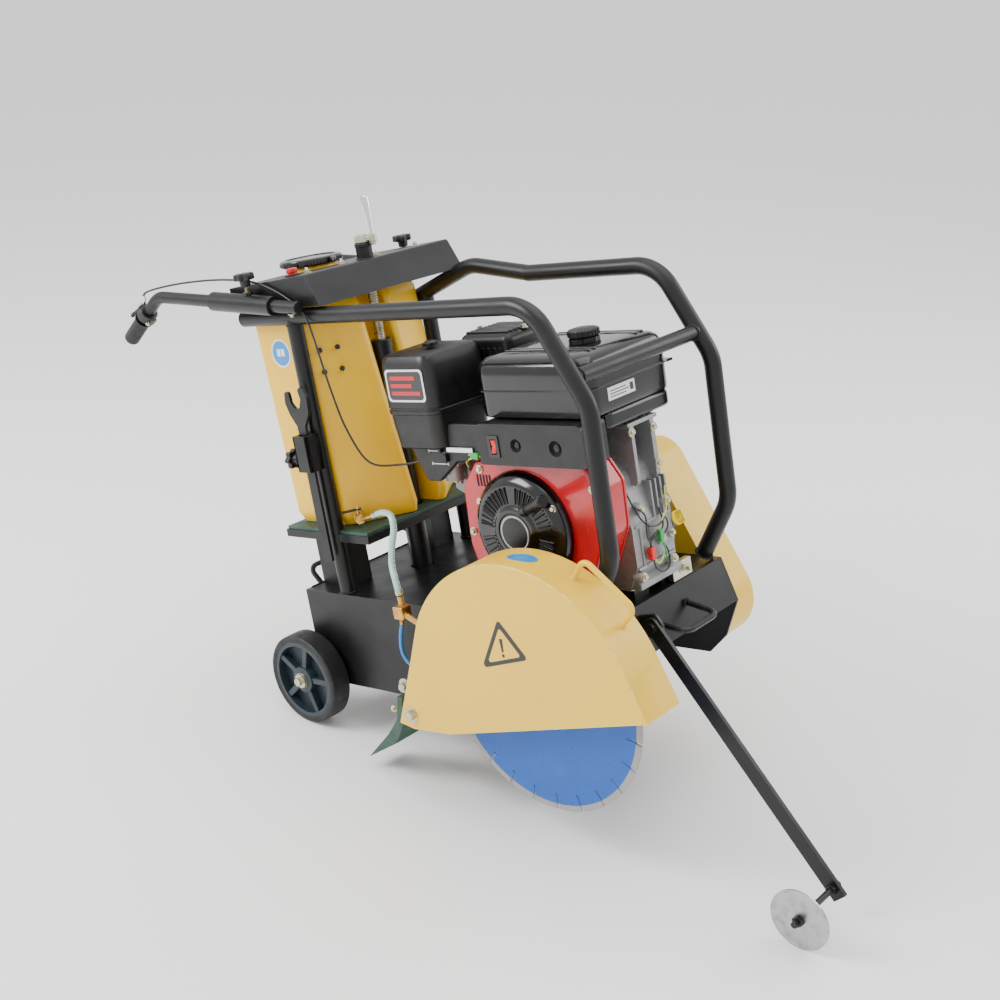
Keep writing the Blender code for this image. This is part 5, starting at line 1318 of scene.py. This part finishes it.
def starter():
    """Glossy recoil cover: turned rim, three sectors of radial slots and a plain round badge."""
    at = frame_at((CRANK[0], -0.1333, CRANK[1]), -V)
    profile = [(0.1150, 0.0), (0.1148, 0.004), (0.1125, 0.013), (0.1085, 0.0190), (0.1020, 0.0240),
               (0.0960, 0.0278),
               (0.0900, 0.0284), (0.0560, 0.0302), (0.0520, 0.0312), (0.0490, 0.0338), (0.0460, 0.0345),
               (0.0400, 0.0345), (0.0385, 0.0325), (0, 0.0325), (0, 0.0), (0.1150, 0.0)]
    turned("starter_cover", profile, at, "gloss_black", "chassis", 96, replaces=["recoil_cover"])

    # Near-black strips between the ribs: painted shade standing in for the open slots.
    def slots(bm):
        for sector in range(4):
            for i in range(9):
                a = math.radians(45 + sector * 90 - 32 + i * 8)
                spun = at @ Matrix.Rotation(a, 4, "Z")
                add_box(bm, (0.0590, -0.0018, 0.0284), (0.0880, 0.0018, 0.0306), spun)

    finish_piece("starter_slots", mesh_of(slots), "painted_shade", "chassis", slot="gloss_black")

    def ribs(bm):
        for sector in range(4):
            for i in range(10):
                a = math.radians(45 + sector * 90 - 36 + i * 8)
                spun = at @ Matrix.Rotation(a, 4, "Z")
                add_box(bm, (0.0575, -0.0011, 0.0280), (0.0900, 0.0011, 0.0318), spun)

    rounded(finish_piece("starter_ribs", mesh_of(ribs), "gloss_black", "chassis"), 0.0005, 2)
    turned("starter_badge", [(0, 0.0326), (0.0360, 0.0326), (0.0375, 0.0332), (0.0360, 0.0338), (0, 0.0342)],
           at, "black_plastic", "chassis", 64)
    turned("starter_ring", [(0.0315, 0.0340), (0.0335, 0.0346), (0.0355, 0.0340), (0.0335, 0.0334),
                            (0.0315, 0.0340)],
           at, "steel", "chassis", 64)
    bolts("starter_bolts", "chassis",
          [(at @ Vector((0.1055 * math.cos(a), 0.1055 * math.sin(a), 0.0195)), -V, 0.008)
                                       for a in (0.5, 2.6, 4.7)])
    start = Vector((0.652, -0.1760, 0.3970))
    along = Vector((0.075, -0.026, 0.032)).normalized()
    pull = frame_at(start, along)
    grip_line = [(0, 0.012), (0.0090, 0.012), (0.0102, 0.0145), (0.0100, 0.030), (0.0108, 0.050),
                 (0.0124, 0.070), (0.0122, 0.0755), (0.0095, 0.0780), (0, 0.0780)]
    turned("pull_grip", grip_line, pull, "black_plastic", "recoil_handle", 32, replaces=["recoil_handle"])
    turned("rope_guide", [(0.0040, -0.010), (0.0105, -0.010), (0.0112, 0.006), (0.0100, 0.0105),
                          (0.0045, 0.0112), (0.0040, -0.010)], pull, "black_plastic", "chassis", 28)
    turned("pull_rope", [(0, -0.008), (0.0022, -0.008), (0.0022, 0.013), (0, 0.013)], pull, "white_film",
           "recoil_handle", 14, slot="black_plastic")


def wires():
    """The switch's leads, looped down to the coil."""
    for i, (mat, lift) in enumerate((("yellow_wire", 0.0), ("black_wire", 0.0045), ("yellow_wire", 0.0090))):
        line = [(0.556, -0.138 + lift, 0.4800), (0.530, -0.1410 + lift, 0.4860 + lift),
                (0.500, -0.1400, 0.4800 + lift),
                (0.478, -0.1310 + lift * 0.5, 0.4700 + lift * 0.5), (0.466, -0.1160, 0.4560)]
        tube("lead_%d" % i, smooth(line, 8), 0.0017, mat, "chassis", 12, slot="black_plastic")
    at = Matrix.Translation((0.515, -0.1420, 0.4870)) @ Matrix.Rotation(0.2, 4, "Y")
    block("lead_plug", (-0.010, -0.005, -0.006), (0.010, 0.006, 0.006), "green_wire", "chassis", 0.0012,
          at=at, slot="black_plastic")


def fuel_tank():
    """Pressed steel tank in two halves with a flange, stiffening ribs, its cap and a plain label."""
    low, high = Vector((0.5280, -0.1300, 0.5570)), Vector((0.8050, 0.1250, 0.6750))
    corners = [(low.x, low.y), (high.x, low.y), (high.x, high.y), (low.x, high.y)]
    centre = (low + high) / 2

    def loop(inset, radius):
        pts = [(x + (inset if x < centre.x else -inset), y + (inset if y < centre.y else -inset)) for x,
               y in corners]
        return fillet(pts, radius, 10)

    def build(bm):
        rows = [(0.020, 0.012, 0.5570), (0.008, 0.020, 0.5574), (0.0025, 0.026, 0.5600),
                (0.0010, 0.028, 0.5660),
                (0.0008, 0.028, 0.6100), (0.0008, 0.028, 0.6370), (0.0025, 0.026, 0.6520),
                (0.0075, 0.022, 0.6620),
                (0.0170, 0.018, 0.6688), (0.0400, 0.010, 0.6722), (0.0700, 0.006, 0.6736)]
        rings = [[bm.verts.new((x, y, w)) for x, y in loop(inset, radius + 0.004)] for inset, radius,
                 w in rows]
        for a, b in zip(rings, rings[1:]):
            for k in range(len(a)):
                n = (k + 1) % len(a)
                bm.faces.new((a[k], a[n], b[n], b[k]))
        bm.faces.new(rings[0][::-1])
        bm.faces.new(rings[-1])

    finish_piece("tank_halves", mesh_of(build), "gloss_black", "chassis", replaces=["fuel_tank"], angle=50)
    seam = slab("tank_flange", loop(-0.0022, 0.030), 0.6085, 0.6112, "gloss_black", "chassis")
    rounded(seam, 0.0010, 2)

    def ribs(bm):
        for v in (-0.070, 0.072):
            for k in range(2):
                add_box(bm, (0.570, v - 0.0045 + k * 0.016, 0.6690), (0.775, v + 0.0045 + k * 0.016, 0.6748))

    rounded(finish_piece("tank_ribs", mesh_of(ribs), "gloss_black", "chassis"), 0.0025, 4)
    block("tank_tab", (0.7700, 0.1240, 0.6040), (0.7960, 0.1420, 0.6095), "gloss_black", "chassis", 0.002)
    rounded(slab("tank_sump",
                 fillet([(0.541, -0.087), (0.8042, -0.087), (0.8042, 0.111), (0.541, 0.111)], 0.018, 8),
                 0.5265, 0.5600, "gloss_black", "chassis"), 0.009, 5, 50)
    block("tank_label", (0.8036, -0.075, 0.5790), (0.8048, 0.005, 0.6030), "white_film", "chassis", 0.0003)

    def lines(bm):
        for i in range(3):
            add_box(bm, (0.8044, -0.069, 0.5840 + i * 0.0055),
                    (0.8051, -0.022 + 0.010 * (i % 2), 0.5858 + i * 0.0055))
        add_box(bm, (0.8044, -0.010, 0.5845), (0.8051, 0.000, 0.5980))

    finish_piece("label_lines", mesh_of(lines), "grey_film", "chassis")
    at = frame_at((0.690, 0.020, 0.6803), W)
    turned("filler_ring", [(0.0255, -0.0105), (0.0300, -0.0100), (0.0300, -0.0020), (0.0270, -0.0008),
                           (0.0235, -0.0008),
                           (0.0235, -0.0105), (0.0255, -0.0105)], at, "gloss_black", "chassis", 48)
    turned("cap_body", [(0, 0.0), (0.0290, 0.0), (0.0300, 0.0015), (0.0300, 0.0110), (0.0275, 0.0140),
                        (0.0180, 0.0160),
                        (0, 0.0160)], at, "black_plastic", "fuel_cap", 64, replaces=["fuel_cap"])

    def grips(bm):
        for k in range(24):
            spun = at @ Matrix.Rotation(2 * math.pi * k / 24, 4, "Z")
            add_box(bm, (0.0270, -0.0016, 0.0015), (0.0311, 0.0016, 0.0122), spun)

    rounded(finish_piece("cap_grips", mesh_of(grips), "black_plastic", "fuel_cap"), 0.0006, 2)


def air_cleaner():
    """Filter case with a stepped lid, a groove, a star nut and a generic striped label."""
    case = [(0.312, -0.168), (0.452, -0.168), (0.464, -0.010), (0.312, -0.010)]
    middle = Vector((0.385, -0.089))

    def loop(scale, radius):
        pts = [(middle.x + (x - middle.x) * scale, middle.y + (y - middle.y) * scale) for x, y in case]
        return fillet(pts, radius, 10)

    def build(bm):
        rows = [(0.86, 0.5010), (0.90, 0.5040), (0.955, 0.5500), (0.965, 0.5700), (0.995, 0.5720),
                (1.0, 0.5745),
                (1.0, 0.5790), (0.978, 0.5805), (0.978, 0.5835), (0.998, 0.5850), (0.996, 0.6350),
                (0.985, 0.6650), (0.955, 0.6790), (0.900, 0.6855), (0.820, 0.6878)]
        rings = [[bm.verts.new((x, y, w)) for x, y in loop(scale, 0.026)] for scale, w in rows]
        for a, b in zip(rings, rings[1:]):
            for k in range(len(a)):
                n = (k + 1) % len(a)
                bm.faces.new((a[k], a[n], b[n], b[k]))
        bm.faces.new(rings[0][::-1])
        bm.faces.new(rings[-1])

    finish_piece("filter_case", mesh_of(build), "black_plastic", "chassis", replaces=["air_cleaner"],
                 angle=28)
    v = -0.1672
    for name, low, high, mat, lift in (("label_frame", (0.334, 0.598), (0.436, 0.662), "white_film", 0.0003),
                                       ("label_field", (0.338, 0.602), (0.432, 0.658), "grey_film", 0.0006)):
        line = fillet([low, (high[0], low[1]), high, (low[0], high[1])], 0.008, 6)
        prism(name, line, v - 0.0006 - lift, v, mat, "chassis")

    def bars(bm):
        for i, (a, b) in enumerate(((0.346, 0.424), (0.346, 0.404), (0.346, 0.414))):
            add_box(bm, (a, v - 0.0016, 0.611 + i * 0.015), (b, v - 0.0012, 0.619 + i * 0.015))

    finish_piece("label_bars", mesh_of(bars), "red_film", "chassis")
    at = frame_at((0.395, -0.092, 0.6883), W)

    def nut(bm):
        add_turned(bm, [(0, 0), (0.0070, 0), (0.0070, 0.0030), (0.0110, 0.0040), (0.0118, 0.0105),
                        (0.0090, 0.0138), (0, 0.0142)], at, 36)
        for k in range(6):
            spun = at @ Matrix.Rotation(2 * math.pi * k / 6, 4, "Z")
            add_turned(bm, [(0, 0.0036), (0.0036, 0.0040), (0.0038, 0.0100), (0.0024, 0.0120), (0, 0.0122)],
                       spun @ Matrix.Translation((0.0118, 0, 0)), 14)

    finish_piece("cleaner_star", mesh_of(nut), "black_plastic", "cleaner_knob", replaces=["cleaner_knob"])
    skirt = fillet([(0.336, 0.504), (0.372, 0.430), (0.404, 0.430), (0.460, 0.472), (0.520, 0.478),
                    (0.548, 0.520), (0.540, 0.548), (0.452, 0.548), (0.440, 0.504)], 0.006, 5)
    rounded(prism("carburettor_cover", skirt, -0.1400, -0.1250, "black_plastic", "chassis"), 0.0030, 4, 50)

    def track(bm):
        for u0, u1, w in ((0.390, 0.402, 0.4920), (0.404, 0.424, 0.4920), (0.394, 0.400, 0.4660),
                          (0.402, 0.430, 0.4660), (0.432, 0.437, 0.4660)):
            add_box(bm, (u0, -0.1404, w), (u1, -0.1400, w + 0.0016))
        for u0, w in ((0.388, 0.4900), (0.393, 0.4640), (0.436, 0.4640)):
            add_box(bm, (u0, -0.1404, w), (u0 + 0.0016, -0.1400, w + 0.0060))

    finish_piece("control_marks", mesh_of(track), "white_film", "chassis")
    for i, (u, w) in enumerate(((0.424, 0.4985), (0.436, 0.4800))):
        block("control_knob_%d" % i, (u - 0.004, -0.1480, w - 0.008), (u + 0.004, -0.1400, w + 0.008),
              "black_plastic", "chassis", 0.0015)
    block("chrome_slide", (0.442, -0.1450, 0.4920), (0.512, -0.1404, 0.5030), "chrome", "chassis", 0.0020,
          segments=4)
    turned("inlet_snout", [(0.0, 0.0), (0.0225, 0.0), (0.0225, 0.018), (0.0185, 0.0195), (0.0185, 0.004),
                           (0, 0.004)],
           frame_at((0.3500, -0.050, 0.5040), (-0.2, 0, -1)), "black_plastic", "chassis", 36)


def lever_and_muffler():
    at = Matrix.Translation((0.440, -0.1218, 0.4905))
    outline = fillet([(-0.004, -0.0045), (0.052, -0.0030), (0.065, -0.0045), (0.065, 0.0045),
                      (0.052, 0.0030), (-0.004, 0.0045)], (0.003, 0.01, 0.002, 0.002, 0.01, 0.003), 4)
    data = mesh_of(lambda bm: extrude_loops(bm, [outline], lambda x, y,
                                            s: at @ Vector((x, 0.0012 if s else -0.0012, y))))
    finish_piece("choke_blade", data, "chrome", "choke_lever", replaces=["choke_lever"])
    bolts("choke_screw", "choke_lever", [((0.440, -0.1232, 0.4905), -V, 0.006)])
    low, high = Vector((0.3800, 0.0000, 0.5300)), Vector((0.5150, 0.1250, 0.6950))
    block("muffler_body", low, high - Vector((0, 0, 0.004)), "black_paint", "chassis", 0.016,
          replaces=["muffler"], segments=6)

    def guard(bm):
        for i in range(8):
            v = 0.0145 + i * 0.0130
            add_box(bm, (0.392, v, 0.6900), (0.503, v + 0.0075, 0.6948))
        for i in range(7):
            u = 0.3930 + i * 0.0160
            add_box(bm, (u, -0.0012, 0.560), (u + 0.008, 0.0020, 0.665))

    rounded(finish_piece("muffler_guard", mesh_of(guard), "black_paint", "chassis"), 0.0012, 2)
    bolts("muffler_bolts", "chassis",
          [((0.388, 0.062, 0.6915), W, 0.009), ((0.507, 0.062, 0.6915), W, 0.009)])


def crankcase():
    """Cooling fins and cover bolts on the CAD block."""
    def fins(bm):
        for i in range(9):
            t = i / 8
            u = 0.372 + 0.125 * t
            w = 0.398 - 0.052 * t
            add_box(bm, (u, -0.0560, w), (u + 0.0040, 0.0660, w + 0.082))

    rounded(finish_piece("cylinder_fins", mesh_of(fins), "cast_aluminium", "chassis"), 0.0008, 2)
    spots = [(0.535, 0.238), (0.640, 0.232), (0.745, 0.240), (0.765, 0.330), (0.742, 0.405), (0.690, 0.446),
             (0.605, 0.446), (0.540, 0.396), (0.535, 0.310)]
    bolts("cover_bolts", "chassis", [((x, 0.0882, z), V, 0.009) for x, z in spots])
    front_casting()
    at = frame_at((0.8003, 0.078, 0.3104), (math.sin(math.radians(66.4)), 0, math.cos(math.radians(66.4))))

    def stick(bm):
        add_turned(bm, [(0, 0), (0.0145, 0.0), (0.0145, 0.0035), (0.0120, 0.0045), (0, 0.0045)], at, 36)
        add_box(bm, (-0.0120, -0.0022, 0.004), (0.0120, 0.0022, 0.0200), at)
        add_turned(bm, [(0, 0.004), (0.0070, 0.0045), (0.0060, 0.0150), (0, 0.0155)], at, 24)

    finish_piece("stick_cap", mesh_of(stick), "yellow_cap", "dipstick", replaces=["dipstick"])
    turned("drain_plug", [(0, 0), (0.0090, 0), (0.0090, 0.002), (0.0070, 0.003), (0.0070, 0.009),
                          (0, 0.009)],
           frame_at((0.560, 0.0882, 0.2350), V), "zinc", "chassis", 6)
    turned("carb_bowl", [(0, 0), (0.0200, 0.0), (0.0210, 0.003), (0.0210, 0.0335), (0.0180, 0.036),
                         (0, 0.036)],
           frame_at((0.400, -0.090, 0.4195), W), "cast_aluminium", "chassis", 40)
    bolts("bowl_bolt", "chassis", [((0.400, -0.090, 0.4198), -W, 0.009)], "brass")


def valve_and_tools():
    """Hexagon collars on the brass valve, and the rivet of its lever."""
    start = Vector((0.1565, -0.1530, 0.350))
    along = Vector((0.800, -0.600, 0.02)).normalized()
    collar = [(0.0086, 0), (0.0108, 0.0006), (0.0108, 0.0074), (0.0086, 0.0080)]
    turned("valve_collar_tank", [*collar, collar[0]], frame_at(start + along * 0.003, along), "brass",
           "chassis", 6)
    turned("valve_collar_hose", [*collar, collar[0]], frame_at(start + along * 0.038, along), "brass",
           "chassis", 6)
    hinge = start + along * 0.022 + Vector((0, 0, 0.0188))
    bolts("valve_rivet", "valve_lever", [(hinge, W, 0.005)])
    for k, (v, w) in enumerate(((-0.150, 0.700), (-0.118, 0.700), (-0.150, 0.655), (-0.118, 0.655))):
        rise = (w - TANK_FLOOR) / (TANK_TOP - TANK_FLOOR)
        at = frame_at((0.152 - rise * 0.022 + (v + 0.150) * 0.60, v, w), (0.80, -0.60, 0.12))
        turned("tank_stud_%d" % k,
               [(0, -0.006), (0.0055, -0.006), (0.0055, 0.0020), (0.0040, 0.0034), (0, 0.0036)], at,
               "black_plastic", "chassis", 20)


# ---- CAD nodes that stay in view ----
SPECIAL = {"rear_axle": "zinc", "guide_disc": "steel"}


def dress_nodes():
    for sub in frame["record"]["subparts"]:
        obj = frame["nodes"][sub["node"]]
        obj.data.materials.clear()
        obj.data.materials.append(M[SPECIAL.get(sub["node"], sub["material_slot"])])
        obj.data.shade_smooth()
        obj.data.set_sharp_from_angle(angle=math.radians(32))


def studio():
    """Pale floor, soft lights and the photograph's camera."""
    floor_paint = Paint("studio_floor", (0.93, 0.93, 0.93), 0.75)
    floor_paint.bump(floor_paint.noise(30, 3), 0.0004, 0.2)
    bpy.ops.mesh.primitive_plane_add(size=60.0, location=(0, 0, -0.0006))
    floor = bpy.context.object
    floor.name = "studio_floor"
    floor.data.materials.append(floor_paint.mat)

    world = bpy.data.worlds.new("studio_world")
    world.use_nodes = True
    world.node_tree.nodes["Background"].inputs["Color"].default_value = (1.0, 1.0, 1.0, 1.0)
    world.node_tree.nodes["Background"].inputs["Strength"].default_value = 1.25
    bpy.context.scene.world = world

    for name, place, size, power, aim in (("key_light", (-2.4, -3.0, 3.2), 2.0, 210, (0, 0, 0.5)),
                                          ("top_light", (0.2, 0.3, 3.6), 3.0, 60, (0, 0, 0.4)),
                                          ("rim_light", (1.8, 3.0, 2.2), 2.0, 50, (0, 0, 0.6))):
        data = bpy.data.lights.new(name, "AREA")
        data.size = size
        data.energy = power
        lamp = bpy.data.objects.new(name, data)
        bpy.context.scene.collection.objects.link(lamp)
        lamp.location = place
        lamp.rotation_euler = (Vector(aim) - Vector(place)).to_track_quat("-Z", "Y").to_euler()

    lens = bpy.data.cameras.new("camera")
    lens.lens = 53.17
    lens.sensor_width = 36.0
    camera = bpy.data.objects.new("camera", lens)
    bpy.context.scene.collection.objects.link(camera)
    camera.location = (1.8133, -2.0878, 1.7147)
    camera.rotation_euler = Vector((-0.6038, 0.6937, -0.3928)).to_track_quat("-Z", "Y").to_euler()
    bpy.context.scene.camera = camera


dress_nodes()
for label, side in (("right", -1), ("left", 1)):
    rear_wheel(label, side)
    front_wheel(label, side)
axle_nuts()
roll_frame()
base_details()
sleeves_and_bars()
knobs()
throttle()
console()
lift()
water_tank()
hose()
valve_and_tools()
saw_blade()
belt_cover()
blade_guard()
guard_fittings()
engine()
studio()

bpy.context.view_layer.update()
